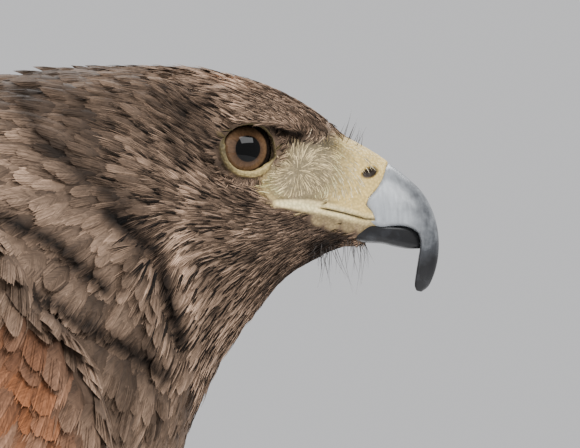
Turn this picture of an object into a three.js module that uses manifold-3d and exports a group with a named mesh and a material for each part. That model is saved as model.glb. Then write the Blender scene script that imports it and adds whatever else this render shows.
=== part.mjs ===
// A harris hawk standing at rest with its head drawn in, life size.
// Millimetres, +Z up, the bill towards +X, the floor at z = 0.
// The body is drawn round the eye: "x, z" in the tables are millimetres in front of and above it.
import * as THREE from "three";
import { mergeVertices } from "three/addons/utils/BufferGeometryUtils.js";
import Module from "manifold-3d";

const wasm = await Module();
wasm.setup();

// Driving dimensions
const eyeHeight = 305; // middle of the eye above the floor
const floorZ = -eyeHeight;
const gap = 0.3; // clearance between neighbouring pieces
const vaneThick = 0.85; // a feather vane at its shaft
const vaneEdge = 0.55; // and at its rim

const eye = { x: -0.3, z: -0.3, out: 17.4, ball: 7.2, forward: 20, opening: 5.25, sides: 16 };
const tailAxis = { fall: 40, root: [-195.5, -99], arch: 0.006, sag: 0.00006 };
const legSide = 31; // ankle and foot off the middle plane
const ankle = { x: -108, z: -219 };
const foot = { x: -92, top: 10, pad: [8.7, 8.4, 7.6], middle: 5.6 };

// Side view of body and head from the tail root to the cere: back line, belly line, half width,
// level of the widest point from belly to back, squareness of the section
const stations = [
  { back: [-198, -88], belly: [-193, -110], half: 13, level: 0.5, square: 2.0 }, // tail root
  { back: [-186, -78], belly: [-182, -118], half: 20, level: 0.52, square: 2.0 },
  { back: [-166, -58], belly: [-160, -136], half: 32, level: 0.55, square: 2.0 }, // rump
  { back: [-142, -36], belly: [-132, -150], half: 43, level: 0.56, square: 2.1 },
  { back: [-118, -17], belly: [-100, -156], half: 50, level: 0.56, square: 2.15 }, // belly
  { back: [-98, -2], belly: [-70, -150], half: 52, level: 0.55, square: 2.15 },
  { back: [-80, 8], belly: [-42, -133], half: 49, level: 0.53, square: 2.15 }, // breast
  { back: [-66, 13], belly: [-25, -104], half: 42, level: 0.52, square: 2.1 },
  { back: [-52, 15.5], belly: [-17, -73], half: 34, level: 0.52, square: 2.1 }, // neck root
  { back: [-38, 17.2], belly: [-8.5, -50], half: 27, level: 0.52, square: 2.1 },
  { back: [-26, 17.7], belly: [0, -37], half: 23, level: 0.52, square: 2.15 }, // nape
  { back: [-14, 17.4], belly: [7, -28.2], half: 20.3, level: 0.5, square: 2.25 },
  { back: [-6.5, 16.3], belly: [12.2, -24.8], half: 17.4, level: 0.5, square: 2.3 }, // eye
  { back: [0, 14.8], belly: [15.5, -22.8], half: 14.8, level: 0.48, square: 2.3 },
  { back: [6.5, 12.4], belly: [18.7, -21.2], half: 12.6, level: 0.46, square: 2.25 },
  { back: [12, 9.3], belly: [21, -20.8], half: 10.9, level: 0.44, square: 2.2 }, // lores
  { back: [16.3, 6.1], belly: [23, -20.7], half: 9.6, level: 0.43, square: 2.15 },
  { back: [19.8, 2.6], belly: [25, -20.6], half: 8.7, level: 0.42, square: 2.1 }, // cere
];
const neckRoot = 8;
const nape = 10;
const cereRoot = stations.length - 1;

// Bill from the cere root to the tip: ridge line, cutting edge and half width
const billStations = [
  { ridge: [20.1, 2.4], edge: [24.5, -14.5], half: 8.5 },
  { ridge: [24.3, 0.2], edge: [27, -15.8], half: 8.0 },
  { ridge: [28.0, -2.1], edge: [29.4, -17.2], half: 7.3 },
  { ridge: [31.6, -4.9], edge: [31.6, -17.3], half: 6.6 },
  { ridge: [35.6, -9.0], edge: [33.8, -17.2], half: 5.7 },
  { ridge: [38.7, -13.5], edge: [35.6, -18.2], half: 4.8 },
  { ridge: [40.5, -18.2], edge: [36.6, -20.6], half: 4.0 },
  { ridge: [40.9, -22.6], edge: [36.5, -24.0], half: 3.3 },
  { ridge: [40.1, -26.6], edge: [36.0, -27.4], half: 2.6 },
  { ridge: [38.8, -29.5], edge: [35.9, -29.9], half: 1.7 },
  { ridge: [37.6, -31.0], edge: [36.5, -31.0], half: 0.7 },
];
const cereEdge = { ridge: [30.2, -3.9], edge: [27.4, -16.5] };
const nostril = { at: [25.6, 7.2, -5.4], size: [1.9, 3.2, 1.35], slope: 25 };
const gape = { corner: [5.4, -12.4], slot: 0.55, depth: 5, lip: 1.1, wide: 17, narrow: 7.9 };
const lidRing = [[0, 2], [0, 5.7], [0.7, 6.4], [2.15, 6.1], [3.05, 4.6], [2.15, 2], [0, 2]]; // out, forward
const hollow = { radius: 22, depth: 1.3, longer: 1.5, flatter: 0.85, ahead: 3.5, down: -0.5, slope: 8 };

// Brow over the eye, from behind it to the lores: how far it stands out, reaches up and hangs down
const browStations = [
  { at: [-14, 15.4, 9.2], out: 0.5, up: 2, down: 0.6 },
  { at: [-7, 16.6, 8.2], out: 2.6, up: 5.5, down: 1.5 },
  { at: [-1, 16.6, 6.9], out: 3.1, up: 5.5, down: 1.6 },
  { at: [5, 14.9, 5.9], out: 2.8, up: 5, down: 1.5 },
  { at: [10.5, 11.8, 4.9], out: 1.9, up: 4, down: 1.3 },
  { at: [15.5, 8.2, 3.2], out: 0.7, up: 2, down: 1 },
];

// Lower mandible: line under the cutting edge, chin line, half width
const mandibleStations = [
  { top: [25.2, -15.3], chin: [25.5, -20.6], half: 7.4 },
  { top: [27.6, -16.6], chin: [28, -20.9], half: 6.8 },
  { top: [30.4, -17.9], chin: [30.5, -21.3], half: 6.0 },
  { top: [33.2, -17.8], chin: [33.2, -21.8], half: 4.7 },
  { top: [35.0, -18.9], chin: [35.2, -21.8], half: 3.0 },
  { top: [35.9, -20.6], chin: [35.9, -21.6], half: 1.6 },
];

// Sheet that the folded wing lies on, every fifth of its length and one beyond: points x, y, z on
// its low, middle and high lines, y being outwards
const wingSheet = [
  { low: [-28, 27, -96], middle: [-27, 36, -62], high: [-36, 34, -27] },
  { low: [-66, 41, -124], middle: [-70, 51, -70], high: [-80, 28, 0] },
  { low: [-118, 41, -139], middle: [-124, 48, -88], high: [-132, 21, -31] },
  { low: [-174, 36, -151], middle: [-181, 38, -112], high: [-188, 15, -74] },
  { low: [-235, 34, -171], middle: [-240, 33, -143], high: [-246, 18, -115] },
  { low: [-300, 35, -201], middle: [-304, 33, -182], high: [-310, 25, -163] },
  { low: [-338, 36, -222], middle: [-342, 34, -204], high: [-348, 28, -186] },
];
const sheetReach = 1.2;

// Tiers of the folded wing, from the lowest feather to the highest. Places are shares of the sheet:
// along its length, then from its low edge to its high one. Lift is the height of root and tip
// over the crest of the arm
const wingTiers = [
  { count: 6, root: [[0.3, 0.1], [0.34, 0.42]], tip: [[0.86, 0.05], [0.82, 0.62]], bulge: 0.15,
    half: 8, lift: [-6.5, -5.2], tilt: -0.26, rows: 4, point: 0.35 }, // primaries
  { count: 7, root: [[0.28, 0.17], [0.36, 0.84]], tip: [[0.73, 0.14], [0.69, 0.88]], bulge: 0.02,
    half: 8.6, lift: [-4.6, 0.9], tilt: -0.16, rows: 3, point: 0.55 }, // secondaries
  { count: 3, root: [[0.16, 0.05], [0.2, 0.16]], tip: [[0.46, -0.02], [0.5, 0.1]], bulge: 0,
    half: 6.2, lift: [-5.5, -2.6], tilt: -0.22, rows: 3, point: 0.5 }, // primary coverts
  { count: 7, root: [[0.21, 0.17], [0.26, 0.84]], tip: [[0.5, 0.15], [0.5, 0.87]], bulge: 0.01,
    half: 8.3, lift: [-4, 2.4], tilt: -0.16, rows: 2, point: 0.5 }, // greater coverts
  { count: 7, root: [[0.15, 0.17], [0.18, 0.83]], tip: [[0.37, 0.16], [0.37, 0.85]], bulge: 0.01,
    half: 8.1, lift: [-3.6, 2.5], tilt: -0.16, rows: 2, point: 0.5 }, // median coverts
  { count: 7, root: [[0.07, 0.2], [0.085, 0.8]], tip: [[0.25, 0.17], [0.25, 0.83]], bulge: 0.01,
    half: 7.9, lift: [-3.2, 2.5], tilt: -0.16, rows: 2, point: 0.5 }, // lesser coverts
];
const wingArm = { from: 0.015, to: 0.54, inner: -7, end: -1.5, crest: 12, foot: 2.6, margin: 0.03 };

const tailFeather = {
  pairs: 6, half: 14, inner: 11, layer: 1.3, start: 12, length: 224, shorter: 2.2,
  root: [1.2, 1.5], tip: [5, 2.8], // place of the first and step to the next
};
const tailCovert = { each: 2, half: 4.7, rootStep: 4, tipStep: 6.4, layer: 1.3, start: 6 };
const tailCovertRows = [
  { length: 74, shorter: 5, root: 2.4, tip: 3.2 }, // above the tail
  { length: 92, shorter: 6, root: -7, tip: -10.6 }, // below it
];
const tailCore = { length: 40, half: [13, 15], high: [8, 1.6], low: [-9, -10] };

// Thigh with its trousers, from the hip down: x, y, z, half length fore and aft, half width
const thighRings = [
  [-84, 22, -104, 30, 18],
  [-88, 24, -128, 30, 17.5],
  [-94, 27, -154, 25, 16],
  [-100, 30, -180, 19, 14],
  [-105, 31, -202, 12.5, 10.5],
  [ankle.x, legSide, ankle.z, 8.6, 7.8],
];
const trouserRows = [
  { count: 4, from: 0.5, to: 0.94, half: 9.5, lift: 3.2 },
  { count: 4, from: 0.66, to: 1.1, half: 7, lift: 0.4 },
];
const trouser = { turns: [45, 315], sunk: -2.5, layer: 1.3 };

const shankRings = [
  { share: 0, fore: 6.4, side: 5.8 },
  { share: 0.12, fore: 6.0, side: 5.0 },
  { share: 0.45, fore: 4.9, side: 4.1 },
  { share: 0.8, fore: 5.0, side: 4.7 },
  { share: 1, fore: 6.2, side: 6.6 },
];
const scutes = { count: 8, rise: 0.55, step: 0.1 };

// Toes by number: heading off straight ahead (outwards is positive), length, thickness, claw
const toes = [
  { name: "toe1", heading: 186, length: 26, thick: 4.6, claw: 26, lift: 40, bend: 14, root: 3.5 },
  { name: "toe2", heading: -26, length: 36, thick: 4.5, claw: 23, lift: 38, bend: 12.8, root: 3.2 },
  { name: "toe3", heading: 4, length: 50, thick: 4.3, claw: 18, lift: 32, bend: 10.5, root: 2.8 },
  { name: "toe4", heading: 48, length: 38, thick: 4.0, claw: 15, lift: 30, bend: 9, root: 2.6 },
];
const toeHeights = [0.95, 0.84, 0.93, 0.75, 1.16]; // middle of a toe, in thicknesses, root to claw
const knuckles = { swell: 0.09, count: 3 };

const clawTip = 0.09; // blunt tip of a claw, as a share of its root

const degrees = Math.PI / 180;
const V = (x, y, z) => new THREE.Vector3(x, y, z);
const mix = THREE.MathUtils.lerp;

// Seeded spread, so that every run gives the same bird
let seed = 7;
function spread(size) {
  seed = (seed * 16807) % 2147483647;
  return size * (seed / 1073741823.5 - 1);
}

// Solids and geometries
function solidOf(geometry) {
  const bare = geometry.clone();
  bare.deleteAttribute("normal");
  bare.deleteAttribute("uv");
  const merged = mergeVertices(bare, 1e-4);
  const vertProperties = merged.attributes.position.array;
  const triVerts = new Uint32Array(merged.index.array);
  const made = new wasm.Manifold(new wasm.Mesh({ numProp: 3, vertProperties, triVerts }));
  if (made.volume() > 0) return made;
  for (let i = 0; i < triVerts.length; i += 3) {
    [triVerts[i + 1], triVerts[i + 2]] = [triVerts[i + 2], triVerts[i + 1]];
  }
  return new wasm.Manifold(new wasm.Mesh({ numProp: 3, vertProperties, triVerts }));
}

function geometryOf(solid) {
  const mesh = solid.getMesh();
  const g = new THREE.BufferGeometry();
  g.setAttribute("position", new THREE.BufferAttribute(new Float32Array(mesh.vertProperties), 3));
  g.setIndex(new THREE.BufferAttribute(new Uint32Array(mesh.triVerts), 1));
  g.computeVertexNormals();
  return g;
}

// The largest closed surface of a solid: loose scraps and sealed hollows are dropped
function mainBody(solid) {
  return solid.decompose().reduce((a, b) => (b.volume() > a.volume() ? b : a));
}

const fuse = (solids) => mainBody(solids.reduce((a, b) => a.add(b)));

// A cylinder bent into a body: place(turn, row, core) gives a point of ring number row,
// or its middle where core is true
function tube(sides, rows, place) {
  const g = new THREE.CylinderGeometry(1, 1, 1, sides, rows);
  const p = g.attributes.position;
  for (let i = 0; i < p.count; i++) {
    const core = Math.hypot(p.getX(i), p.getZ(i)) < 0.5;
    const step = Math.round((Math.atan2(p.getX(i), p.getZ(i)) / (2 * Math.PI) + 1) * sides) % sides;
    const row = Math.round((p.getY(i) + 0.5) * rows);
    const q = place((step / sides) * 2 * Math.PI, row, core);
    p.setXYZ(i, q.x, q.y, q.z);
  }
  return solidOf(g);
}

// A thin closed plate, three points across and split alike on both faces:
// place(along 0..1, across -1..1, face 0 or 1)
function plate(rows, place) {
  const points = [];
  const index = [];
  const at = (i, j, face) => (i * 3 + j) * 2 + face;
  const quad = (a, b, c, d) => index.push(a, b, c, a, c, d);
  for (let i = 0; i <= rows; i++) {
    for (let j = 0; j < 3; j++) {
      for (const face of [0, 1]) points.push(...place(i / rows, j - 1, face).toArray());
    }
  }
  for (let i = 0; i < rows; i++) {
    for (const j of [0, 1]) {
      quad(at(i, j, 1), at(i + 1, j, 1), at(i + 1, j + 1, 1), at(i, j + 1, 1));
      index.push(at(i, j, 0), at(i + 1, j + 1, 0), at(i + 1, j, 0));
      index.push(at(i, j, 0), at(i, j + 1, 0), at(i + 1, j + 1, 0));
    }
    quad(at(i, 0, 0), at(i + 1, 0, 0), at(i + 1, 0, 1), at(i, 0, 1));
    quad(at(i, 2, 1), at(i + 1, 2, 1), at(i + 1, 2, 0), at(i, 2, 0));
  }
  for (const j of [0, 1]) {
    quad(at(0, j, 0), at(0, j, 1), at(0, j + 1, 1), at(0, j + 1, 0));
    quad(at(rows, j, 1), at(rows, j, 0), at(rows, j + 1, 0), at(rows, j + 1, 1));
  }
  const g = new THREE.BufferGeometry();
  g.setAttribute("position", new THREE.Float32BufferAttribute(points, 3));
  g.setIndex(index);
  return solidOf(g);
}

// Share of a vane's half width at a place along it: narrow root, full middle, rounded or pointed end
function vaneWidth(along, point) {
  const root = Math.min(1, 0.55 + along * 1.6);
  const end = along > 0.6 ? Math.sqrt(Math.max(0, 1 - ((along - 0.6) / 0.4) ** 2)) : 1;
  return root * mix(end, 1, along > 0.6 ? 0.22 * point : 0);
}
const vaneDepth = (across) => (across === 0 ? vaneThick : vaneEdge);

// Body
const curve = (points) => new THREE.CatmullRomCurve3(points, false, "catmullrom", 0.5);
const backLine = curve(stations.map((s) => V(s.back[0], 0, s.back[1])));
const bellyLine = curve(stations.map((s) => V(s.belly[0], 0, s.belly[1])));
const girth = curve(stations.map((s) => V(s.half, s.level, s.square)));

function bodyPoint(station, turn, swell = 0, core = false) {
  const u = THREE.MathUtils.clamp(station / (stations.length - 1), 0, 1);
  const size = girth.getPoint(u);
  const back = backLine.getPoint(u);
  const belly = bellyLine.getPoint(u);
  const middle = belly.clone().lerp(back, size.y);
  if (core) return middle;
  const power = 2 / size.z;
  const up = Math.abs(Math.cos(turn)) ** power;
  const out = Math.sign(Math.sin(turn)) * Math.abs(Math.sin(turn)) ** power;
  const reach = (Math.cos(turn) >= 0 ? back : belly).clone().sub(middle);
  reach.setLength(reach.length() + swell).multiplyScalar(up);
  return middle.add(reach).add(V(0, (size.x + swell) * out, 0));
}

// Direction from one station of the body towards the head, square to the section there
function forwardAt(station) {
  const u = station / (stations.length - 1);
  const rise = backLine.getPoint(u).sub(bellyLine.getPoint(u));
  return V(rise.z, 0, -rise.x).normalize();
}

function bodyLength(from, to, sides, rows, swell = 0) {
  return tube(sides, rows, (turn, row, core) => {
    const station = mix(from, to, row / rows);
    const p = bodyPoint(station, turn, swell, core);
    if (row === 0 && from > 0) p.addScaledVector(forwardAt(from), gap);
    return p;
  });
}

const torsoWithClearance = bodyLength(0, neckRoot, 22, 11, gap);
const neckWithClearance = bodyLength(neckRoot - 0.3, nape, 22, 3, gap);
const makeTorso = () => bodyLength(0, neckRoot, 22, 11);
const makeNeck = () => bodyLength(neckRoot, nape, 22, 3);

// Eyes look outwards and a little ahead: the axes of one that faces +Y
const gaze = V(Math.sin(eye.forward * degrees), Math.cos(eye.forward * degrees), 0);
const eyeFront = V(eye.x, eye.out, eye.z);
const eyeMiddle = eyeFront.clone().addScaledVector(gaze, -eye.ball);

// Turns a shape made round +Y at the origin on to the eye's axis
function onEye(geometry) {
  geometry.applyQuaternion(new THREE.Quaternion().setFromUnitVectors(V(0, 1, 0), gaze));
  return geometry.translate(eyeMiddle.x, eyeMiddle.y, eyeMiddle.z);
}

const makeEye = () => solidOf(onEye(new THREE.SphereGeometry(eye.ball, eye.sides, 8)));

// Ring of both lids, round the eye and just clear of it
function makeLids() {
  const outline = lidRing.map(([out, y]) => new THREE.Vector2(eye.opening + out, y));
  return solidOf(onEye(new THREE.LatheGeometry(outline, eye.sides)));
}

function makeSocket() {
  const ball = solidOf(onEye(new THREE.SphereGeometry(eye.ball + gap, eye.sides, 8)));
  const mouth = new THREE.CylinderGeometry(eye.opening + 1.6, eye.opening - 0.1, 6, eye.sides);
  return ball.add(solidOf(onEye(mouth.translate(0, eye.ball + 0.8, 0))));
}

// Bony brow over the eye, from behind it to the lores: a ledge, steep below and sloping back above
const browLine = curve(browStations.map((b) => V(...b.at)));
const browSizes = curve(browStations.map((b) => V(b.out, b.up, b.down)));
function makeBrow() {
  const rows = 7;
  return tube(8, rows, (turn, row, core) => {
    const p = browLine.getPoint(row / rows);
    const size = browSizes.getPoint(row / rows);
    if (core) return p;
    const lift = Math.sin(turn) * (Math.sin(turn) > 0 ? size.y : size.z);
    return p.add(V(0, Math.cos(turn) * size.x - Math.max(0, lift) * 0.55, lift));
  });
}

// Hollow of the face round the eye and in front of it
function makeHollow() {
  const { radius, depth, longer, flatter } = hollow;
  const ball = new THREE.SphereGeometry(radius, 16, 12).scale(longer, 1, flatter);
  ball.rotateY(-hollow.slope * degrees);
  ball.translate(hollow.ahead, radius - depth + eye.ball, hollow.down);
  return solidOf(onEye(ball));
}

// Place on the mouth line, at a share of the way from the corner of the gape to the bill
function mouthPoint(share) {
  const from = gape.corner;
  const to = billStations[0].edge;
  const s = THREE.MathUtils.clamp(share, 0, 1);
  return V(mix(from[0], to[0], share), mix(gape.wide, gape.narrow, s), mix(from[1], to[1], s ** 1.6));
}

// Fleshy flange of the gape, which the slot parts into two lips
function makeLips() {
  const rows = 6;
  return tube(8, rows, (turn, row, core) => {
    const p = mouthPoint(mix(-0.06, 0.97, row / rows));
    const size = gape.lip * Math.min(1, 0.45 + row / 2);
    return core ? p : p.add(V(0, Math.cos(turn) * size, Math.sin(turn) * size));
  });
}

// Slot between the lips, from the corner of the gape to the bill
function makeGape(side) {
  const rows = 6;
  const box = new THREE.BoxGeometry(1, gape.depth, gape.slot, rows, 1, 1);
  const p = box.attributes.position;
  for (let i = 0; i < p.count; i++) {
    const m = mouthPoint((p.getX(i) + 0.5) * 1.1);
    p.setXYZ(i, m.x, side * (m.y + p.getY(i)), m.z + p.getZ(i));
  }
  return solidOf(box);
}

const sides = [1, -1];
const mirrored = (geometry) => geometry.clone().scale(1, -1, 1);
const bothSides = (solid) => solid.add(solidOf(mirrored(geometryOf(solid))));

function makeHead() {
  const skull = bodyLength(nape, cereRoot, 24, 11);
  const dished = skull.subtract(bothSides(makeHollow()));
  const face = [makeBrow(), makeLids(), makeLips()].reduce((head, part) => head.add(bothSides(part)), dished);
  const open = face.subtract(bothSides(makeSocket()));
  return mainBody(sides.reduce((head, side) => head.subtract(makeGape(side)), open));
}

// Bill
function billTube(list, upper, lower, sideCount, steps, sharp) {
  const above = curve(list.map((s) => V(s[upper][0], 0, s[upper][1])));
  const below = curve(list.map((s) => V(s[lower][0], 0, s[lower][1])));
  const width = curve(list.map((s) => V(s.half, 0, 0)));
  return tube(sideCount, steps, (turn, row, core) => {
    const u = row / steps;
    const a = above.getPoint(u);
    const b = below.getPoint(u);
    const middle = b.clone().lerp(a, sharp);
    if (core) return middle;
    const c = Math.cos(turn);
    const s = Math.sin(turn);
    const reach = (c >= 0 ? a : b).clone().sub(middle);
    const out = Math.sign(s) * Math.abs(s) ** (c >= 0 ? 1.15 : 0.6);
    reach.multiplyScalar(Math.abs(c) ** (c >= 0 ? 1 : 0.8));
    return middle.add(reach).add(V(0, width.getPoint(u).x * out, 0));
  });
}

function cereCut() {
  const [rx, rz] = cereEdge.ridge;
  const [ex, ez] = cereEdge.edge;
  const normal = V(rz - ez, 0, ex - rx).normalize();
  return { normal, offset: normal.x * rx + normal.z * rz };
}

const makeUpper = () => billTube(billStations, "ridge", "edge", 12, 16, 0.22);

function makeCere() {
  const { normal, offset } = cereCut();
  const base = makeUpper().trimByPlane([-normal.x, 0, -normal.z], -(offset - gap / 2));
  const hole = new THREE.SphereGeometry(1, 10, 6).scale(...nostril.size).rotateY(-nostril.slope * degrees);
  const pits = sides.map((side) =>
    solidOf(hole.clone().translate(nostril.at[0], side * nostril.at[1], nostril.at[2])),
  );
  return mainBody(base.subtract(pits[0]).subtract(pits[1]));
}

function makeHook() {
  const { normal, offset } = cereCut();
  return mainBody(makeUpper().trimByPlane([normal.x, 0, normal.z], offset + gap / 2));
}

const makeMandible = () => mainBody(billTube(mandibleStations, "top", "chin", 12, 8, 0.75));

// Folded wing
const sheetLines = ["low", "middle", "high"].map((line) => curve(wingSheet.map((s) => V(...s[line]))));

function sheetPoint(along, up) {
  const [low, middle, high] = sheetLines.map((line) =>
    line.getPoint(THREE.MathUtils.clamp(along / sheetReach, 0, 1)),
  );
  return low.multiplyScalar((1 - up) * (1 - 2 * up))
    .addScaledVector(middle, 4 * up * (1 - up))
    .addScaledVector(high, up * (2 * up - 1));
}

function sheetFrame(along, up) {
  const step = 0.004;
  const alongWay = sheetPoint(along + step, up).sub(sheetPoint(along - step, up)).divideScalar(2 * step);
  const upWay = sheetPoint(along, up + step).sub(sheetPoint(along, up - step)).divideScalar(2 * step);
  const normal = new THREE.Vector3().crossVectors(alongWay, upWay).normalize();
  if (normal.y < 0) normal.negate();
  return { alongWay, upWay, normal };
}

// Shares of the sheet that one millimetre in a direction on it is worth
function sheetShares({ alongWay, upWay }, direction) {
  const aa = alongWay.dot(alongWay);
  const uu = upWay.dot(upWay);
  const au = alongWay.dot(upWay);
  const a = direction.dot(alongWay);
  const u = direction.dot(upWay);
  const det = aa * uu - au * au;
  return [(a * uu - u * au) / det, (u * aa - a * au) / det];
}

// How far down the arm a place is, how rounded off it is there, and its height along the middle
const armShare = (a) => THREE.MathUtils.clamp((a - wingArm.from) / (wingArm.to - wingArm.from), 0, 1);
const armRound = (a) => Math.sqrt(Math.min(1, 0.3 + armShare(a) * 5));
const armCrest = (a) => mix(wingArm.crest, wingArm.foot, armShare(a) ** 1.5) * armRound(a);

// Height over the sheet of the arm's outer (side 1) or inner (side -1) surface
function armHeight(a, u, side) {
  const crest = armCrest(a);
  const inner = mix(wingArm.inner, wingArm.end, armShare(a));
  const off = Math.min(1, Math.abs(u - 0.5) / ((0.5 - wingArm.margin) * armRound(a)));
  return (crest + inner) / 2 + side * ((crest - inner) / 2) * (1 - off * off) ** 0.275;
}

function sheetVane({ root, tip, half, lift, tilt, rows, point }) {
  const centre = (s) => [mix(root[0], tip[0], s), mix(root[1], tip[1], s)];
  return plate(rows, (s, across, face) => {
    const [a, u] = centre(s);
    const frame = sheetFrame(a, u);
    const way = sheetPoint(...centre(s + 0.01)).sub(sheetPoint(...centre(s - 0.01))).normalize();
    const side = new THREE.Vector3().crossVectors(frame.normal, way).normalize();
    if (side.dot(frame.upWay) < 0) side.negate();
    const [da, du] = sheetShares(frame, side);
    const off = across * half * vaneWidth(s, point);
    const h = armCrest(a) + mix(lift[0], lift[1], s) + tilt * off + face * vaneDepth(across);
    return sheetPoint(a + da * off, u + du * off).addScaledVector(frame.normal, h);
  });
}

function makeWingTier(tier) {
  const vanes = [];
  for (let i = 0; i < tier.count; i++) {
    const t = i / (tier.count - 1);
    const longer = tier.bulge * (1 - (2 * t - 1) ** 2);
    vanes.push(sheetVane({
      ...tier,
      root: [mix(tier.root[0][0], tier.root[1][0], t), mix(tier.root[0][1], tier.root[1][1], t)],
      tip: [
        mix(tier.tip[0][0], tier.tip[1][0], t) + longer + spread(0.005),
        mix(tier.tip[0][1], tier.tip[1][1], t) + spread(0.003),
      ],
    }));
  }
  return vanes;
}

// Arm and hand under the coverts
function makeWingArm() {
  const rows = 7;
  return tube(16, rows, (turn, row, core) => {
    const t = row / rows;
    const a = mix(wingArm.from, wingArm.to, t);
    const u = 0.5 + (core ? 0 : (0.5 - wingArm.margin) * armRound(a) * Math.cos(turn));
    const side = core ? 0 : Math.sign(Math.round(Math.sin(turn) * 100));
    const h = armHeight(a, u, side);
    return sheetPoint(a, u).addScaledVector(sheetFrame(a, u).normal, h);
  });
}

function makeWing() {
  const wing = fuse([makeWingArm(), ...wingTiers.flatMap(makeWingTier)]);
  return mainBody(wing.subtract(torsoWithClearance).subtract(neckWithClearance));
}

// Tail
const tailWay = V(-Math.cos(tailAxis.fall * degrees), 0, -Math.sin(tailAxis.fall * degrees));
const tailUp = V(tailWay.z, 0, -tailWay.x);
const tailRoot = V(tailAxis.root[0], 0, tailAxis.root[1]);

function tailPoint(along, y, height) {
  const arch = tailAxis.arch * y * y;
  const sag = tailAxis.sag * along * along;
  return tailRoot.clone()
    .addScaledVector(tailWay, along)
    .addScaledVector(tailUp, height - arch + sag)
    .add(V(0, y, 0));
}

function tailVane({ from, to, y0, y1, inner, outer, h0, h1, rows, point, own = false }) {
  const side = y1 < 0 || y0 < 0 ? -1 : 1;
  return plate(rows, (s, across, face) => {
    const wide = (across * side > 0 ? outer : inner) * vaneWidth(s, point);
    const free = mix(y0, y1, s) + across * wide;
    const y = own ? side * Math.max(gap / 2, free * side) : free;
    return tailPoint(mix(from, to, s), y, mix(h0, h1, s) + face * vaneDepth(across));
  });
}

// Tail feathers, each pair a layer lower; one of the middle pair lies over the other
function makeTailFeathers() {
  const { pairs, half, inner, layer, start, length, shorter, root, tip } = tailFeather;
  const vanes = [];
  for (const side of sides) {
    for (let i = 0; i < pairs; i++) {
      const level = i === 0 && side > 0 ? layer : -layer * i;
      vanes.push(tailVane({
        from: start, to: length - shorter * i + spread(0.8),
        y0: side * (root[0] + root[1] * i), y1: side * (tip[0] + tip[1] * i),
        outer: half, inner: i === 0 ? inner : half, own: i > 0,
        h0: level, h1: level, rows: 3, point: 0.9,
      }));
    }
  }
  return vanes;
}

// Long coverts above and below the tail root, every other one a layer up
function makeTailCoverts() {
  const { each, half, rootStep, tipStep, layer, start } = tailCovert;
  const vanes = [];
  for (let i = -each; i <= each; i++) {
    for (const row of tailCovertRows) {
      const up = Math.sign(row.root) * layer * (i & 1);
      vanes.push(tailVane({
        from: start, to: row.length - row.shorter * Math.abs(i), y0: i * rootStep, y1: i * tipStep,
        outer: half, inner: half, h0: row.root + up, h1: row.tip + up, rows: 2, point: 0.4,
      }));
    }
  }
  return vanes;
}

// Fleshy root that the tail feathers grow from, meeting the rump face to face
function makeTailCore() {
  const rows = 4;
  return tube(20, rows, (turn, row, core) => {
    const t = row / rows;
    const start = bodyPoint(0, turn, 0, core).addScaledVector(forwardAt(0), -gap);
    const high = mix(...tailCore.high, t);
    const low = mix(...tailCore.low, t);
    const lift = core ? 0 : Math.cos(turn);
    const out = core ? 0 : Math.sin(turn);
    const end = tailPoint(
      tailCore.length * t,
      mix(...tailCore.half, t) * out,
      (high + low) / 2 + ((high - low) / 2) * lift,
    );
    return start.lerp(end, Math.min(1, t * 2));
  });
}

const makeTail = () => fuse([makeTailCore(), ...makeTailFeathers(), ...makeTailCoverts()]);

// Legs
const thighLine = curve(thighRings.map(([x, y, z]) => V(x, y, z)));
const thighSizes = curve(thighRings.map((r) => V(r[3], r[4], 0)));

// A point of the thigh, going on straight down below the ankle
function thighPoint(along, turn, lift = 0) {
  const u = Math.min(1, along);
  const p = thighLine.getPoint(u);
  p.z += Math.max(0, along - 1) * (ankle.z - thighRings[0][2]);
  const size = thighSizes.getPoint(u);
  return p.add(V(Math.cos(turn) * (size.x + lift), Math.sin(turn) * (size.y + lift), 0));
}

function makeTrousers() {
  const locks = [];
  for (const row of trouserRows) {
    for (let i = 0; i < row.count; i++) {
      const turn = mix(...trouser.turns, i / (row.count - 1)) * degrees + spread(0.08);
      const to = row.to + spread(0.03);
      locks.push(plate(2, (s, across, face) => {
        const along = mix(row.from, to, s);
        const size = thighSizes.getPoint(Math.min(1, along));
        const off = (across * row.half * vaneWidth(s, 0.4)) / ((size.x + size.y) / 2);
        const lift = mix(trouser.sunk, row.lift + trouser.layer * (i % 2), s) + face * vaneDepth(across);
        return thighPoint(along, turn + off, lift);
      }));
    }
  }
  return locks;
}

function makeThigh() {
  const rows = 8;
  const flesh = tube(14, rows, (turn, row, core) => {
    const p = thighPoint(row / rows, turn);
    return core ? thighLine.getPoint(row / rows) : p;
  });
  return mainBody(fuse([flesh, ...makeTrousers()]).subtract(torsoWithClearance));
}

// Shank, its front raised in overlapping plates
function makeShank() {
  const shares = shankRings.map((r) => r.share);
  const sizeAt = (share) => {
    const i = Math.min(shares.length - 2, shares.findIndex((s, k) => share <= (shares[k + 1] ?? 1)));
    const t = (share - shares[i]) / (shares[i + 1] - shares[i]);
    return ["fore", "side"].map((way) => mix(shankRings[i][way], shankRings[i + 1][way], t));
  };
  const top = ankle.z - gap;
  const bottom = floorZ + foot.top + gap;
  return tube(10, scutes.count * 2 - 1, (turn, row, core) => {
    const share = (Math.floor(row / 2) + (row % 2 ? 1 - scutes.step : 0)) / (scutes.count - scutes.step);
    const middle = V(mix(ankle.x, foot.x, share), legSide, mix(top, bottom, share));
    if (core) return middle;
    const [fore, side] = sizeAt(share);
    const front = Math.max(0, Math.cos(turn)) ** 0.7;
    const rise = row % 2 ? scutes.rise * front : 0;
    return middle.add(V(Math.cos(turn) * (fore + rise), Math.sin(turn) * (side + rise / 2), 0));
  });
}

// A toe's heading on the floor, outwards being +Y
const toeWay = (toe) => V(Math.cos(toe.heading * degrees), Math.sin(toe.heading * degrees), 0);

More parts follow.
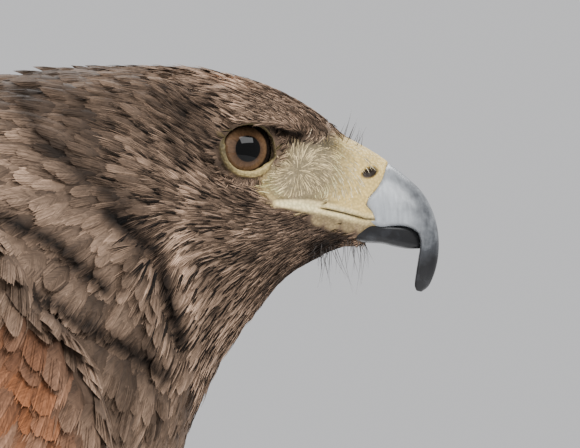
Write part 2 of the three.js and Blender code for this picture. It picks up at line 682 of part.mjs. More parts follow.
function toeCurve(toe) {
  const way = toeWay(toe);
  const points = toeHeights.map((height, i) => {
    const share = i / (toeHeights.length - 1);
    return V(foot.x, legSide, floorZ + height * toe.thick).addScaledVector(way, share * toe.length);
  });
  return curve(points);
}

function makeFoot() {
  const pad = solidOf(
    new THREE.SphereGeometry(1, 14, 10)
      .scale(...foot.pad)
      .translate(foot.x, legSide, floorZ + foot.middle),
  ).trimByPlane([0, 0, -1], -(floorZ + foot.top));
  const fingers = toes.map((toe) => {
    const line = toeCurve(toe);
    const way = toeWay(toe);
    const across = V(-way.y, way.x, 0);
    const rows = 6;
    return tube(7, rows, (turn, row, core) => {
      const t = row / rows;
      const p = line.getPoint(t);
      if (core) return p;
      const knuckle = 1 + knuckles.swell * Math.cos(t * 2 * knuckles.count * Math.PI);
      const r = toe.thick * mix(1.08, 0.82, t) * knuckle;
      return p.addScaledVector(across, r * 0.95 * Math.cos(turn)).add(V(0, 0, r * Math.sin(turn)));
    });
  });
  return mainBody(fuse([pad, ...fingers]).trimByPlane([0, 0, 1], floorZ));
}

// A curved claw, which starts on the end face of its toe
function makeClaw(toe) {
  const way = toeWay(toe);
  const across = V(-way.y, way.x, 0);
  const start = toeCurve(toe).getPoint(1).addScaledVector(way, gap);
  const rows = 6;
  const swing = toe.claw / toe.bend;
  return tube(8, rows, (turn, row, core) => {
    const t = row / rows;
    const slope = toe.lift * degrees - swing * t;
    const ahead = toe.bend * (Math.sin(toe.lift * degrees) - Math.sin(slope));
    const up = toe.bend * (Math.cos(slope) - Math.cos(toe.lift * degrees));
    const p = start.clone().addScaledVector(way, ahead).add(V(0, 0, up));
    if (core) return p;
    const r = toe.root * Math.max(clawTip, (1 - t) ** 0.8);
    const faceSlope = row === 0 ? 0 : slope;
    const normal = V(0, 0, Math.cos(faceSlope)).addScaledVector(way, -Math.sin(faceSlope));
    return p.addScaledVector(across, r * 0.72 * Math.cos(turn)).addScaledVector(normal, r * Math.sin(turn));
  });
}

// Colours
const finish = (color, roughness) => new THREE.MeshStandardMaterial({ color, roughness, metalness: 0 });
const finishes = {
  plumage: finish(0x3a2a20, 0.85),
  chestnut: finish(0x6b3a1e, 0.85),
  tail: finish(0x2a211c, 0.8),
  cere: finish(0xd9b548, 0.55),
  horn: finish(0x4a4e54, 0.35),
  iris: finish(0x2c1a10, 0.15),
  shank: finish(0xd9b03c, 0.6),
  claw: finish(0x17161a, 0.3),
};

// Assembly
const hawk = new THREE.Group();

function addPiece(name, solid, material) {
  const mesh = new THREE.Mesh(geometryOf(solid), material.clone());
  mesh.name = name;
  mesh.position.z = eyeHeight;
  hawk.add(mesh);
  return mesh;
}

// A piece modelled on the +Y side, and its mirror image
function addPair(name, solid, material) {
  const left = addPiece(`${name}_left`, solid, material);
  const right = left.clone();
  right.material = material.clone();
  right.name = `${name}_right`;
  right.scale.y = -1;
  hawk.add(right);
}

addPiece("torso", makeTorso(), finishes.plumage);
addPiece("neck", makeNeck(), finishes.plumage);
addPiece("head", makeHead(), finishes.plumage);
addPiece("cere", makeCere(), finishes.cere);
addPiece("bill_upper", makeHook(), finishes.horn);
addPiece("bill_lower", makeMandible(), finishes.horn);
addPiece("tail", makeTail(), finishes.tail);
addPair("eye", makeEye(), finishes.iris);
addPair("wing", makeWing(), finishes.chestnut);
addPair("thigh", makeThigh(), finishes.chestnut);
addPair("shank", makeShank(), finishes.shank);
addPair("foot", makeFoot(), finishes.shank);
for (const toe of toes) addPair(`claw_${toe.name}`, makeClaw(toe), finishes.claw);

// The origin is under the middle of the bird
const extent = new THREE.Box3().setFromObject(hawk);
hawk.position.x = -(extent.min.x + extent.max.x) / 2;

export default hawk;
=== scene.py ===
import math
import random

import bmesh
import bpy
import numpy as np
from mathutils import Matrix, Vector, noise
from mathutils.bvhtree import BVHTree
from mathutils.kdtree import KDTree


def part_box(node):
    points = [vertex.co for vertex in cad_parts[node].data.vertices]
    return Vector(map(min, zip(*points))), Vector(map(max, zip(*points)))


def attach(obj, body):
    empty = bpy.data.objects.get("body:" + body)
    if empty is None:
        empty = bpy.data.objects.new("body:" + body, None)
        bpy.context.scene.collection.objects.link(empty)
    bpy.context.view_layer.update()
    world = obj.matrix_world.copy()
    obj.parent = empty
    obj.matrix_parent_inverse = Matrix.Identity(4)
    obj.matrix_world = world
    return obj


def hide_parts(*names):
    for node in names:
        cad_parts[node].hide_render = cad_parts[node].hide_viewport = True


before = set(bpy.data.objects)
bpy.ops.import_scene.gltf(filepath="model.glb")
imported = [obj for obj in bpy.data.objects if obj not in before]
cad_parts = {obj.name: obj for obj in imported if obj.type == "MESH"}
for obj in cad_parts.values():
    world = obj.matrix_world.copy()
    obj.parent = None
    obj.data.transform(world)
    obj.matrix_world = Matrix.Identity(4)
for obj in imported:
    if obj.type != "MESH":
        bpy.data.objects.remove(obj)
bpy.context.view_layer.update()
random.seed(11)
mm = 0.001

# Places are millimetres ahead of the eye in the side view, out from the middle plane, and above the eye
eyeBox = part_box("eye_left")
eyeMiddle = (eyeBox[0] + eyeBox[1]) / 2
eyeRadius = (eyeBox[1].z - eyeBox[0].z) / 2
gazeTurn = math.radians(20)  # both eyes look a little ahead
gaze = Vector((math.sin(gazeTurn), math.cos(gazeTurn), 0))
eyeFront = eyeMiddle + gaze * eyeRadius
home = Vector((eyeFront.x + 0.3 * mm, 0, eyeFront.z + 0.3 * mm))


def at(ahead, side, above):
    return home + Vector((ahead, side, above)) * mm


def mix(a, b, share):
    return a + (b - a) * share


def ease(low, high, value):  # 0 below low, 1 above high, smooth between
    share = np.clip((value - low) / (high - low), 0, 1)
    return share * share * (3 - 2 * share)


def hump(gap, wide):  # 1 at no gap, falling off smoothly over a width
    return np.exp(-((gap / wide) ** 2))


def unit(rows, least=1e-6):
    return rows / np.maximum(np.linalg.norm(rows, axis=1), least)[:, None]


def curveAt(points, share):  # smooth line through points, in the way the solids are drawn
    place = min(max(share, 0), 1) * (len(points) - 1)
    i = min(int(place), len(points) - 2)
    t = place - i
    b, c = Vector(points[i]), Vector(points[i + 1])
    a = Vector(points[i - 1]) if i > 0 else b * 2 - c
    d = Vector(points[i + 2]) if i + 2 < len(points) else c * 2 - b
    return b + ((c - a) * t + (2 * a - 5 * b + 4 * c - d) * t ** 2 + (3 * b - a - 3 * c + d) * t ** 3) / 2


def report(stage, piece=None):
    size = f", {sum(len(p.vertices) - 2 for p in piece.data.polygons)} triangles" if piece else ""
    print(f"{stage}{size}")


def pieceFrom(form, name, material, body="root"):
    mesh = bpy.data.meshes.new(name)
    form.to_mesh(mesh)
    form.free()
    piece = bpy.data.objects.new(name, mesh)
    bpy.context.scene.collection.objects.link(piece)
    mesh.materials.append(material)
    mesh.shade_smooth()
    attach(piece, body)
    return piece


def sleeve(form, sides, rows, place):  # a grid rolled into a tube: place(turn, share) puts each point
    grid = bmesh.ops.create_grid(form, x_segments=sides, y_segments=rows, size=0.5)["verts"]
    for v in grid:
        v.co = place((v.co.x + 0.5) * 2 * math.pi, v.co.y + 0.5)
    bmesh.ops.remove_doubles(form, verts=grid, dist=1e-6)
    grid = [v for v in grid if v.is_valid]
    edges = {e for v in grid for e in v.link_edges if e.is_boundary}
    bmesh.ops.holes_fill(form, edges=list(edges), sides=0)
    faces = list({f for v in grid for f in v.link_faces})
    bmesh.ops.recalc_face_normals(form, faces=faces)
    return grid


# Camera and light
camera = {"distance": 2.4, "ahead": 8.5, "above": -16.2, "wide": 123.4}  # the photograph's frame, in mm
studio = {
    "key": {"at": (800, -1080, 980), "size": 1.5, "high": 0.8, "watts": 36},
    "fill": {"at": (-900, -1300, 250), "size": 1.4, "high": 1.4, "watts": 9},
    "rim": {"at": (200, 800, 1050), "size": 0.9, "high": 0.9, "watts": 24},
}
backdrop = {"wide": 1500, "grey": 0.78, "sky": 0.7}


def makeCamera():
    middle = at(camera["ahead"], 0, camera["above"])
    lens = bpy.data.cameras.new("camera")
    lens.sensor_width = 36
    lens.lens = 36 * camera["distance"] / (camera["wide"] * mm)
    lens.clip_end = 50
    eye = bpy.data.objects.new("camera", lens)
    eye.location = middle + Vector((0, -camera["distance"], 0))
    eye.rotation_euler = (math.radians(90), 0, 0)
    bpy.context.scene.collection.objects.link(eye)
    bpy.context.scene.camera = eye


def makeLights():
    for name, lamp in studio.items():
        light = bpy.data.lights.new(name, "AREA")
        light.energy = lamp["watts"]
        light.shape = "RECTANGLE"
        light.size, light.size_y = lamp["size"], lamp["high"]
        holder = bpy.data.objects.new(name, light)
        holder.location = at(*lamp["at"])
        aim = at(0, 0, -40) - holder.location
        holder.rotation_euler = aim.to_track_quat("-Z", "Y").to_euler()
        bpy.context.scene.collection.objects.link(holder)
    sky = bpy.data.worlds.new("sky")
    sky.use_nodes = True
    grey = backdrop["sky"]
    sky.node_tree.nodes["Background"].inputs["Color"].default_value = (grey, grey, grey * 1.02, 1)
    bpy.context.scene.world = sky


def makeFloor(material):
    form = bmesh.new()
    bmesh.ops.create_circle(form, cap_ends=True, segments=96, radius=backdrop["wide"] / 2 * mm)
    floor = pieceFrom(form, "floor", material)
    floor.parent = None


makeCamera()
makeLights()
report("camera and lights")


# The lie of the plumage: how the tips point in the side view, in degrees down from straight back
lieGuides = [
    (18.1, 4.3, -42), (12.8, 8.5, -32), (4.3, 12.3, -18), (-6.4, 15.5, -6), (-27.7, 16.2, 2),
    (-49, 14.9, 8), (3.2, 6.4, -12), (-7.4, 9.1, -30), (-14.9, 8.5, -46), (-21.3, 3.8, -35),
    (-10.6, -3.6, -38), (-2.1, -8.9, -28), (0, -14.3, -12), (-31.9, 8.1, -10), (-40.4, -0.4, -4),
    (-25.5, -6.8, -12), (-14.9, -11.1, -20), (-6.4, -18.5, 5), (4.3, -18.5, 2), (12.8, -18.5, 8),
    (2.1, -24.3, 22), (12.8, -22.1, 28), (7.4, -26, 38), (-2.1, -32.3, 45), (-10.6, -30.2, 50),
    (-5.3, -41.9, 58), (-10.6, -51.5, 66), (-16.6, -19.6, 40), (-16, -26, 66), (-27.7, -17.4, 30),
    (-40.4, -15.3, 32), (-27.7, -32.3, 50), (-40.4, -32.3, 45), (-21.3, -45.1, 58), (-36.2, -53.6, 62),
    (-24, -85, 74), (-45, -130, 50), (-90, -150, 28), (-140, -145, 15), (-185, -118, 25),
    (-80, 6, 14), (-115, -18, 24), (-150, -45, 36), (-190, -85, 40), (-80, -70, 42), (-130, -85, 32),
]
whorl = {"at": (10, -4.8), "reach": 7.5, "swirl": 0.85}  # on the lores, where the bristles part
billRoot = (20, 0, -8)

# Plumage by distance from the root of the bill: lengths, bounds of the coats, and the skin's depth below
coatLengths = [
    (0, 1.9), (15, 2.5), (30, 3.7), (46, 5.4), (60, 8), (78, 11.5), (100, 15), (140, 20), (200, 24),
]
coatBounds = {
    "head": (28, 33), "neck": (42, 50), "headEnd": (49, 58), "body": (86, 100), "neckEnd": (90, 104),
}
coatDepths = [(0, 0), (12, 0.1), (22, 0.5), (45, 0.9), (80, 1.7), (130, 2.6), (200, 2.6)]

# Folds where one bank of feathers overhangs the next
folds = [
    {"line": [(-26, -15), (-21, -20.5), (-18.7, -24), (-17.7, -29), (-16, -36), (-14.3, -41.5)],
     "wide": 1.9, "deep": 1.7},
    {"line": [(-56, -11.5), (-47.9, -16.8), (-40.9, -20.2), (-36.4, -24.7), (-30.2, -30)],
     "wide": 2.1, "deep": 1.7},
    {"line": [(-48, -30), (-40, -33.6), (-33.6, -38.1), (-29.4, -40.6), (-24, -43.4), (-18, -48.3)],
     "wide": 2.0, "deep": 1.7},
]
shadeAndLightBands = [  # bands painted into the plumage's colour, mostly painted light and shade: dark ones are painted shadow where one bank of feathers overhangs the next, under the brow and under the jaw, pale ones painted light on the brow, crown and collar fringe, and a few darken streaks of the plumage itself: line, half width, how bright
    ([(-29.4, -14), (-23, -19.4), (-18.7, -23), (-17.7, -29.1), (-16, -36.2), (-14.3, -41.5)], 2.0, 0.06),
    ([(-56, -12), (-47.9, -16.8), (-40.9, -20.2), (-36.4, -24.7), (-30.2, -30)], 2.0, 0.03),
    ([(-48, -30), (-40, -33.6), (-33.6, -38.1), (-29.4, -40.6), (-24, -43.4), (-18, -48.3)], 2.0, 0.05),
    ([(-47.9, 10.2), (-44.3, 1.9), (-32.8, -7), (-26.6, -12.3)], 2.6, 0.3),
    ([(-13.5, -11), (-14.4, -23.8), (-12.4, -36.6)], 1.6, 1.45),
    ([(-9, 9.5), (-13.5, 7.5), (-17, 2), (-14, -3)], 2.2, 0.4),
    ([(-22, 13), (-31, 10), (-38, 7)], 1.5, 0.6), ([(-38, 12), (-50, 12)], 1.2, 0.6),
    ([(4.4, 4.0), (10.5, 2.8)], 0.8, 0.12),
    ([(-3, 8.6), (5, 6.9), (11, 5.6)], 1.0, 1.2), ([(9, 10), (4, 13.5), (-6, 15.5)], 1.6, 1.3),
    ([(2, -14.5), (10, -15.6), (18, -19)], 1.0, 0.45), ([(12, -21), (19, -20)], 1.3, 0.4),
    ([(-2, -10), (2, -13)], 1.2, 0.55), ([(-4, -22), (6, -27)], 2.0, 0.6), ([(-9, -38), (-2, -30)], 2.0, 0.7),
    ([(7.5, 1.2), (12, 1.2), (15, 0)], 1.5, 0.5), ([(13, 6.5), (17.5, 2)], 1.2, 0.6),
]
# dark lines painted on the bare lores: the first is painted shade below the brow's ledge, the others darken
# the skin along their lines: line, half width, how bright
loreStrokes = [
    ([(6.5, 2.6), (11, 2.6), (15.5, 1.8)], 1.8, 0.2), ([(14, 4), (17.5, 0.5)], 1.7, 0.4),
    ([(17, 1.5), (21, -1.5)], 1.0, 0.75), ([(6.2, -0.5), (7.2, -3)], 0.9, 0.65),
    ([(3, -8), (6, -10.5)], 0.9, 0.7),
]


# Folded wing: the sheet that it lies on, every fifth of its length and one beyond
wingSheet = [  # low edge, middle line and high edge
    ((-28, 27, -96), (-27, 36, -62), (-36, 34, -27)),
    ((-66, 41, -124), (-70, 51, -70), (-80, 28, 0)),
    ((-118, 41, -139), (-124, 48, -88), (-132, 21, -31)),
    ((-174, 36, -151), (-181, 38, -112), (-188, 15, -74)),
    ((-235, 34, -171), (-240, 33, -143), (-246, 18, -115)),
    ((-300, 35, -201), (-304, 33, -182), (-310, 25, -163)),
    ((-338, 36, -222), (-342, 34, -204), (-348, 28, -186)),
]
sheetLines = list(zip(*wingSheet))
sheetReach = 1.2
wingArm = {"start": 0.015, "end": 0.54, "inner": -7, "innerEnd": -1.5, "crest": 12, "foot": 2.6,
           "margin": 0.03}


def sheetPoint(along, up):
    low, middle, high = (curveAt(line, along / sheetReach) for line in sheetLines)
    return low * ((1 - up) * (1 - 2 * up)) + middle * (4 * up * (1 - up)) + high * (up * (2 * up - 1))


def sheetWays(along, up):
    step = 0.004
    alongWay = (sheetPoint(along + step, up) - sheetPoint(along - step, up)) / (2 * step)
    upWay = (sheetPoint(along, up + step) - sheetPoint(along, up - step)) / (2 * step)
    normal = alongWay.cross(upWay).normalized()
    return alongWay, upWay, normal if normal.y > 0 else -normal


def armShare(along):
    return min(max((along - wingArm["start"]) / (wingArm["end"] - wingArm["start"]), 0), 1)


def armRound(along):
    return math.sqrt(min(1, 0.3 + armShare(along) * 5))


def armCrest(along):
    return mix(wingArm["crest"], wingArm["foot"], armShare(along) ** 1.5) * armRound(along)


def armPoint(turn, share):  # arm and hand under the coverts
    along = mix(wingArm["start"], wingArm["end"], share)
    crest, inner = armCrest(along), mix(wingArm["inner"], wingArm["innerEnd"], armShare(along))
    across = math.cos(turn)
    up = 0.5 + (0.5 - wingArm["margin"]) * armRound(along) * across
    bulge = max(0, 1 - across * across) ** 0.275
    height = (crest + inner) / 2 + math.copysign((crest - inner) / 2 * bulge, math.sin(turn))
    return sheetPoint(along, up) + sheetWays(along, up)[2] * height


# Bill from the cere root to the tip: ridge line, cutting edge and half width
billStations = [
    ((20.1, 2.2), (22.5, -14.6), 8.5),
    ((24.3, 0.1), (25.0, -16.0), 8.0),
    ((28.0, -2.3), (27.4, -17.0), 7.3),
    ((31.5, -4.7), (29.6, -16.8), 6.6),
    ((34.8, -7.5), (31.6, -16.6), 6.0),
    ((37.2, -10.2), (33.3, -16.8), 5.3),
    ((39.0, -13.8), (34.9, -17.5), 4.6),
    ((39.9, -17.2), (35.9, -18.6), 4.0),
    ((40.2, -20.6), (36.2, -20.6), 3.4),
    ((39.95, -23.8), (35.8, -23.4), 2.9),
    ((39.2, -26.8), (35.3, -26.6), 2.3),
    ((38.0, -29.4), (35.0, -29.2), 1.6),
    ((36.4, -30.7), (35.4, -30.4), 0.8),
]
mandibleStations = [
    ((21.5, -14.7), (21.5, -19.6), 5.6),
    ((24.5, -15.2), (24.5, -20.2), 5.9),
    ((28.0, -15.8), (28.0, -20.4), 5.5),
    ((31.0, -15.9), (31.0, -21.1), 4.7),
    ((33.4, -16.2), (33.4, -21.5), 3.8),
    ((35.2, -17.2), (35.4, -21.5), 2.9),
    ((36.5, -18.8), (36.7, -21.3), 2.0),
    ((37.1, -20.2), (37.1, -20.9), 1.1),
]
# Front of the cere in the side view, from the ridge down to the cutting edge
cereFront = [
    (29.4, -3.2), (28.7, -5.1), (28.1, -7), (26.6, -9), (25.2, -10.6), (24.7, -12.1), (26, -13.8),
    (27.2, -16.5),
]
nostril = {"at": (25.4, -5.3), "long": 2.0, "high": 1.25, "slope": 22, "deep": 1.5}
mouth = {"corner": (5.3, -11.8), "end": (24.5, -15.2), "bend": 1.7}


def billPoint(stations, turn, share, swell=0, level=0.22):
    upper = curveAt([(*ridge, half) for ridge, _, half in stations], share)
    lower = curveAt([(*edge, half) for _, edge, half in stations], share)
    c, s = math.cos(turn), math.sin(turn)
    middle = mix(lower, upper, level)
    reach = (upper if c >= 0 else lower) - middle
    square = 1.0 if c >= 0 else 0.4  # flat below, with an edge at both sides
    reach = reach * (abs(c) ** square * (1 + swell / max(reach.length, 0.5)))
    out = math.copysign(abs(s) ** square, s) * (upper.z + swell)
    return Vector((middle.x + reach.x, out, middle.y + reach.y))


# Skin: one closed surface under the whole coat, with the folds and lids of the face
skinLook = {"voxel": 1.1, "close": 0.2, "smooth": 6, "body": 0.2}  # body: share of its faces that are kept
eyelid = {"rim": 6.3, "wide": 1.7, "socket": 5.9, "reach": 8.6}
lidEdge = [  # degrees round the eye from its front corner, how far the lids stand open
    (-180, 4.85), (-157, 4.68), (-123, 4.72), (-86, 4.7), (-54, 5.1), (-34, 5.6), (-15, 6.7), (3, 6.3),
    (25, 6.2), (46, 5.9), (70, 5.3), (94, 5.0), (115, 4.9), (152, 4.75), (180, 4.85),
]
brow = {"edge": [(-6.5, 0.8), (-4.6, 2.9), (-2.6, 4.5), (0, 5.1), (3.4, 4.9), (6.5, 4.4), (10.1, 3.5),
                 (13, 2.6)],
        "out": 1.9, "wide": 2.0, "under": 1.3}
lips = {"upper": 0.95, "lower": -0.8, "out": 0.55, "groove": 0.95, "start": 14}
armSteps = [(a / 30, u / 16) for a in range(31) for u in range(17)]


def modified(form, kind, groupOf=None, **settings):  # a form after one modifier, limited to some vertices
    mesh = bpy.data.meshes.new("rough")
    form.to_mesh(mesh)
    form.free()
    holder = bpy.data.objects.new("rough", mesh)
    bpy.context.scene.collection.objects.link(holder)
    modifier = holder.modifiers.new("change", kind)
    if groupOf is not None:
        holder.vertex_groups.new(name="chosen").add([int(i) for i in np.flatnonzero(groupOf)], 1, "REPLACE")
        modifier.vertex_group = "chosen"
    for name, value in settings.items():
        setattr(modifier, name, value)
    made = bpy.data.meshes.new_from_object(holder.evaluated_get(bpy.context.evaluated_depsgraph_get()))
    bpy.data.objects.remove(holder)
    changed = bmesh.new()
    changed.from_mesh(made)
    bpy.data.meshes.remove(made)
    return changed


def keepLargest(form):
    left, largest = set(form.verts), set()
    while left:
        shell, edge = set(), [left.pop()]
        while edge:
            v = edge.pop()
            shell.add(v)
            near = {e.other_vert(v) for e in v.link_edges} & left
            left -= near
            edge.extend(near)
        largest = max(largest, shell, key=len)
    bmesh.ops.delete(form, geom=[v for v in form.verts if v not in largest], context="VERTS")


def smoothed(form, count, verts=None):
    for _ in range(count):
        bmesh.ops.smooth_vert(form, verts=verts or form.verts, factor=0.5,
                              use_axis_x=True, use_axis_y=True, use_axis_z=True)


def formOf(piece):
    form = bmesh.new()
    form.from_mesh(piece.data)
    return form


def placesOf(form):  # millimetres ahead, out to the side and above the eye, one row a vertex
    return (np.array([v.co for v in form.verts]) - np.array(home)) / mm


def moveBy(form, shifts):
    for v, shift in zip(form.verts, shifts):
        v.co += Vector(shift) * mm


def normalsOf(form):
    form.normal_update()
    return np.array([v.normal for v in form.verts])


def billDistance(places):
    return np.linalg.norm(places - np.array(billRoot), axis=1)


def tableAt(table, value, column=1):  # another column of a table, read by its first
    return np.interp(value, [row[0] for row in table], [row[column] for row in table])


def lineDistance(places, line):  # distance from a line in the side view
    best = np.full(len(places), 1e9)
    flat = places[:, [0, 2]]
    for a, b in zip(line[:-1], line[1:]):
        a, b = np.array(a), np.array(b)
        share = np.clip((flat - a) @ (b - a) / ((b - a) @ (b - a)), 0, 1)
        best = np.minimum(best, np.linalg.norm(flat - (a + share[:, None] * (b - a)), axis=1))
    return best


def nearLine(places, line, wide):
    return hump(lineDistance(places, line), wide)


def mouthHeight(ahead):
    (x0, z0), (x1, z1) = mouth["corner"], mouth["end"]
    return z0 + (z1 - z0) * np.clip((ahead - x0) / (x1 - x0), 0, 1) ** mouth["bend"]


def mouthLevel(places):  # height over the line between the lips
    return places[:, 2] - mouthHeight(places[:, 0])


def gazeAxes(side):  # an eye's middle, its gaze, and the level way across the gaze to the front
    middle = (np.array(eyeMiddle) - np.array(home)) / mm * (1, side, 1)
    return middle, np.array(gaze) * (1, side, 1), np.array((gaze.y, -gaze.x * side, 0))


def eyeView(places, side):  # how far along the gaze, how far off it and which way round
    middle, look, front = gazeAxes(side)
    gone = places - middle
    depth = gone @ look
    return depth, np.linalg.norm(gone - depth[:, None] * look, axis=1), np.arctan2(gone[:, 2], gone @ front)


def eyeViews(places):  # the same for both eyes, and which places lie on that side
    for side in (1, -1):
        yield (side, places[:, 1] * side > 0, *eyeView(places, side))


def lidOpening(turn):
    return tableAt(lidEdge, np.degrees(turn))


def lidWidth(turn):  # how wide the bare ring of the lids is
    back = mix(1.25, 0.4, ease(0.4, 0.9, np.sin(turn)))
    back = back + 0.3 * hump(np.degrees(turn) + 65, 22)
    return mix(back, 0.15, ease(0.55, 0.9, np.cos(turn - math.radians(12))))


def overBrow(places):  # height over the brow's lower edge
    return places[:, 2] - tableAt(brow["edge"], places[:, 0])


def shapeLids(form):  # draws the socket's edge in to the lids' opening and lifts it over the eyeball
    for side in (1, -1):
        places, normals = placesOf(form), normalsOf(form)
        _, look, front = gazeAxes(side)
        depth, off, turn = eyeView(places, side)
        opening, edge, reach = lidOpening(turn), eyelid["socket"], eyelid["reach"]
        outside = normals @ look > 0.05
        near = (depth > -1) & (places[:, 1] * side > 0)
        drawn = opening + np.maximum(off - edge, -0.2) * (reach - opening) / (reach - edge)
        outward = np.cos(turn)[:, None] * front + np.sin(turn)[:, None] * np.array((0, 0, 1))
        moved = near & (off < reach) & (outside | (off < edge + 0.6))
        moveBy(form, ((drawn - off) * moved)[:, None] * outward)
        off = np.where(moved, drawn, off)
        share = np.clip((off - opening) / eyelid["wide"], 0, 1)
        lid = eyelid["rim"] + 0.3 * np.sin(math.pi * share ** 0.6) - 0.35 * share
        top = ease(0.45, 0.85, np.sin(turn))
        lid = lid - 0.5 * hump(off - opening - lidWidth(turn) - 0.4, 0.4) * (1 - top)
        fade = 1 - ease(opening + mix(2.3, 0.6, top), opening + mix(4.2, 1.5, top), off)
        fade = fade * (1 - ease(-0.4, 0.4, overBrow(places)))
        moveBy(form, ((lid - depth) * fade * (near & outside & (off < 11)))[:, None] * look)


def shapeFace(form):  # brow ridge, dent below it, and the lips
    places, normals = placesOf(form), normalsOf(form)
    ahead, level, over = places[:, 0], mouthLevel(places), overBrow(places)
    sides = np.clip((np.abs(places[:, 1]) - 4) / 3, 0, 1)
    ends = ease(-6, -2.5, ahead) * (1 - ease(10, 13, ahead)) * sides
    ridge = brow["out"] * ease(-0.3, 0.25, over)
    ridge = ridge * hump(np.maximum(over - 0.7, 0), brow["wide"]) * ends
    shade = hump(over + 0.9, 1.3) * (1 - ease(-0.3, 0.1, over)) * ends
    under = -brow["under"] * shade * ease(4, 6.5, ahead)
    reach = ease(5, 8, ahead) * (1 - ease(23.5, 26, ahead)) * sides
    upper = lips["out"] * hump(level - lips["upper"], 0.6) * ease(8, 13, ahead)
    lower = lips["out"] * hump(level - lips["lower"], 0.55) * (1 - ease(17, 20, ahead))
    groove = lips["groove"] * hump(level, 0.2) * ease(lips["start"], lips["start"] + 2, ahead)
    lift = (ridge + under) * (ahead < 17) + reach * (upper + lower - groove)
    out = normals * (lift - ridge)[:, None]
    out[:, 1] += np.sign(places[:, 1]) * ridge
    out[:, 2] -= ridge * 0.12
    moveBy(form, out)


def cereEdge(above):  # how far ahead the cere reaches at a height
    return tableAt([(z, x) for x, z in reversed(cereFront)], above)


def nostrilReach(places):  # 0 in the middle of the nostril, 1 on its rim
    slope = math.radians(nostril["slope"])
    ahead, above = places[:, 0] - nostril["at"][0], places[:, 2] - nostril["at"][1]
    u = (ahead * math.cos(slope) + above * math.sin(slope)) / nostril["long"]
    w = (above * math.cos(slope) - ahead * math.sin(slope)) / nostril["high"]
    return np.sqrt(u * u + w * w)


def shapeCere(form):  # sinks the skin under the bill's root, and shapes the cere's lip and the nostrils
    places, normals = placesOf(form), normalsOf(form)
    ragged = np.array([0.25 * noise.noise(Vector(p) * 0.9) for p in places])
    beyond = places[:, 0] - cereEdge(places[:, 2]) + ragged
    sunk = ease(-0.12, 0.25, beyond) * (places[:, 0] > 22) * (mouthLevel(places) > -1)
    lip = 0.16 * hump(beyond + 0.6, 0.5) * (places[:, 0] > 22)
    lip = lip + 0.3 * ease(-4, -2, places[:, 2]) * ease(19, 22, places[:, 0])
    hole = nostrilReach(places)
    pit = 1 - ease(0.55, 1.05, hole)
    ring = 0.12 * hump(hole - 1.25, 0.25)
    moveBy(form, normals * (lip + ring - 1.3 * sunk - nostril["deep"] * pit)[:, None])


def refine(form, wanted):  # halves the edges between the vertices wanted
    keep = wanted(placesOf(form))
    form.verts.ensure_lookup_table()
    chosen = {v for v, k in zip(form.verts, keep) if k}
    edges = [e for e in form.edges if e.verts[0] in chosen and e.verts[1] in chosen]
    bmesh.ops.subdivide_edges(form, edges=edges, cuts=1, use_grid_fill=True)


def nearEye(places, reach):
    return np.any([own & (off < reach) for _, own, _, off, _ in eyeViews(places)], axis=0)


def nearLids(places):
    return np.any([own & (np.abs(off - eyelid["socket"] - 0.2) < 0.5) & (depth > 2.5)
                   for _, own, depth, off, _ in eyeViews(places)], axis=0)


def nearEdges(places):  # eyes, lips, cere and brow, where the skin has its sharpest forms
    ahead, above = places[:, 0], places[:, 2]
    lipsNear = (np.abs(mouthLevel(places)) < 1.6) & (ahead > 5)
    browNear = (np.abs(overBrow(places)) < 1.3) & (ahead > -6) & (ahead < 13)
    return nearEye(places, 8.4) | lipsNear | ((ahead > 21.5) & (above > -18)) | browNear


def tuckHems(form):  # draws the thigh's hem in, so that the plumes alone stand out there
    places = placesOf(form)
    ahead, side = fromThigh(places)
    wide, deep, _ = thighSizes(places)
    over = np.maximum(np.hypot(ahead, side), 0.01)
    back = (1 - np.minimum(1, 1.05 / over)) * ease(*thighCone["tuck"], places[:, 2])
    shift = np.stack([-ahead * wide * back, -side * deep * back * np.sign(places[:, 1]), 0 * back], axis=1)
    moveBy(form, shift)


def faceOf(form):
    return [v for v in form.verts if (v.co.x - home.x) / mm > -8]


def makeSkinForm():
    form = bmesh.new()
    for name in ("torso", "neck", "head", "cere", "thigh_left", "thigh_right"):
        form.from_mesh(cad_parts[name].data)
    bmesh.ops.remove_doubles(form, verts=form.verts, dist=1e-6)
    moveBy(form, normalsOf(form) * skinLook["close"])
    for side in (1, -1):
        def armPlace(turn, share):
            p = armPoint(turn, share)
            return at(p.x, p.y * side, p.z)
        sleeve(form, 28, 14, armPlace)
    sleeve(form, 48, 12, lambda turn, share: at(*billPoint(billStations, turn, share * 0.34, 0.2)))
    form = modified(form, "REMESH", mode="VOXEL", voxel_size=skinLook["voxel"] * mm)
    keepLargest(form)
    tuckHems(form)
    smoothed(form, skinLook["smooth"])
    body = placesOf(form)[:, 0] < -60
    form = modified(form, "DECIMATE", body, ratio=1 - (1 - skinLook["body"]) * body.mean())
    depth = tableAt(coatDepths, billDistance(placesOf(form)))
    moveBy(form, normalsOf(form) * -depth[:, None])
    refine(form, lambda p: (p[:, 0] > -9) & (p[:, 2] > -23) & (p[:, 2] < 12) & (np.abs(p[:, 1]) > 3))
    smoothed(form, 2, faceOf(form))
    refine(form, nearEdges)
    smoothed(form, 1, faceOf(form))
    refine(form, nearLids)
    shapeLids(form)
    shapeFace(form)
    shapeCere(form)
    places, normals = placesOf(form), normalsOf(form)
    fold = sum(f["deep"] * nearLine(places, f["line"], f["wide"]) for f in folds)
    moveBy(form, normals * -(fold * (np.abs(places[:, 1]) > 9))[:, None])
    return form
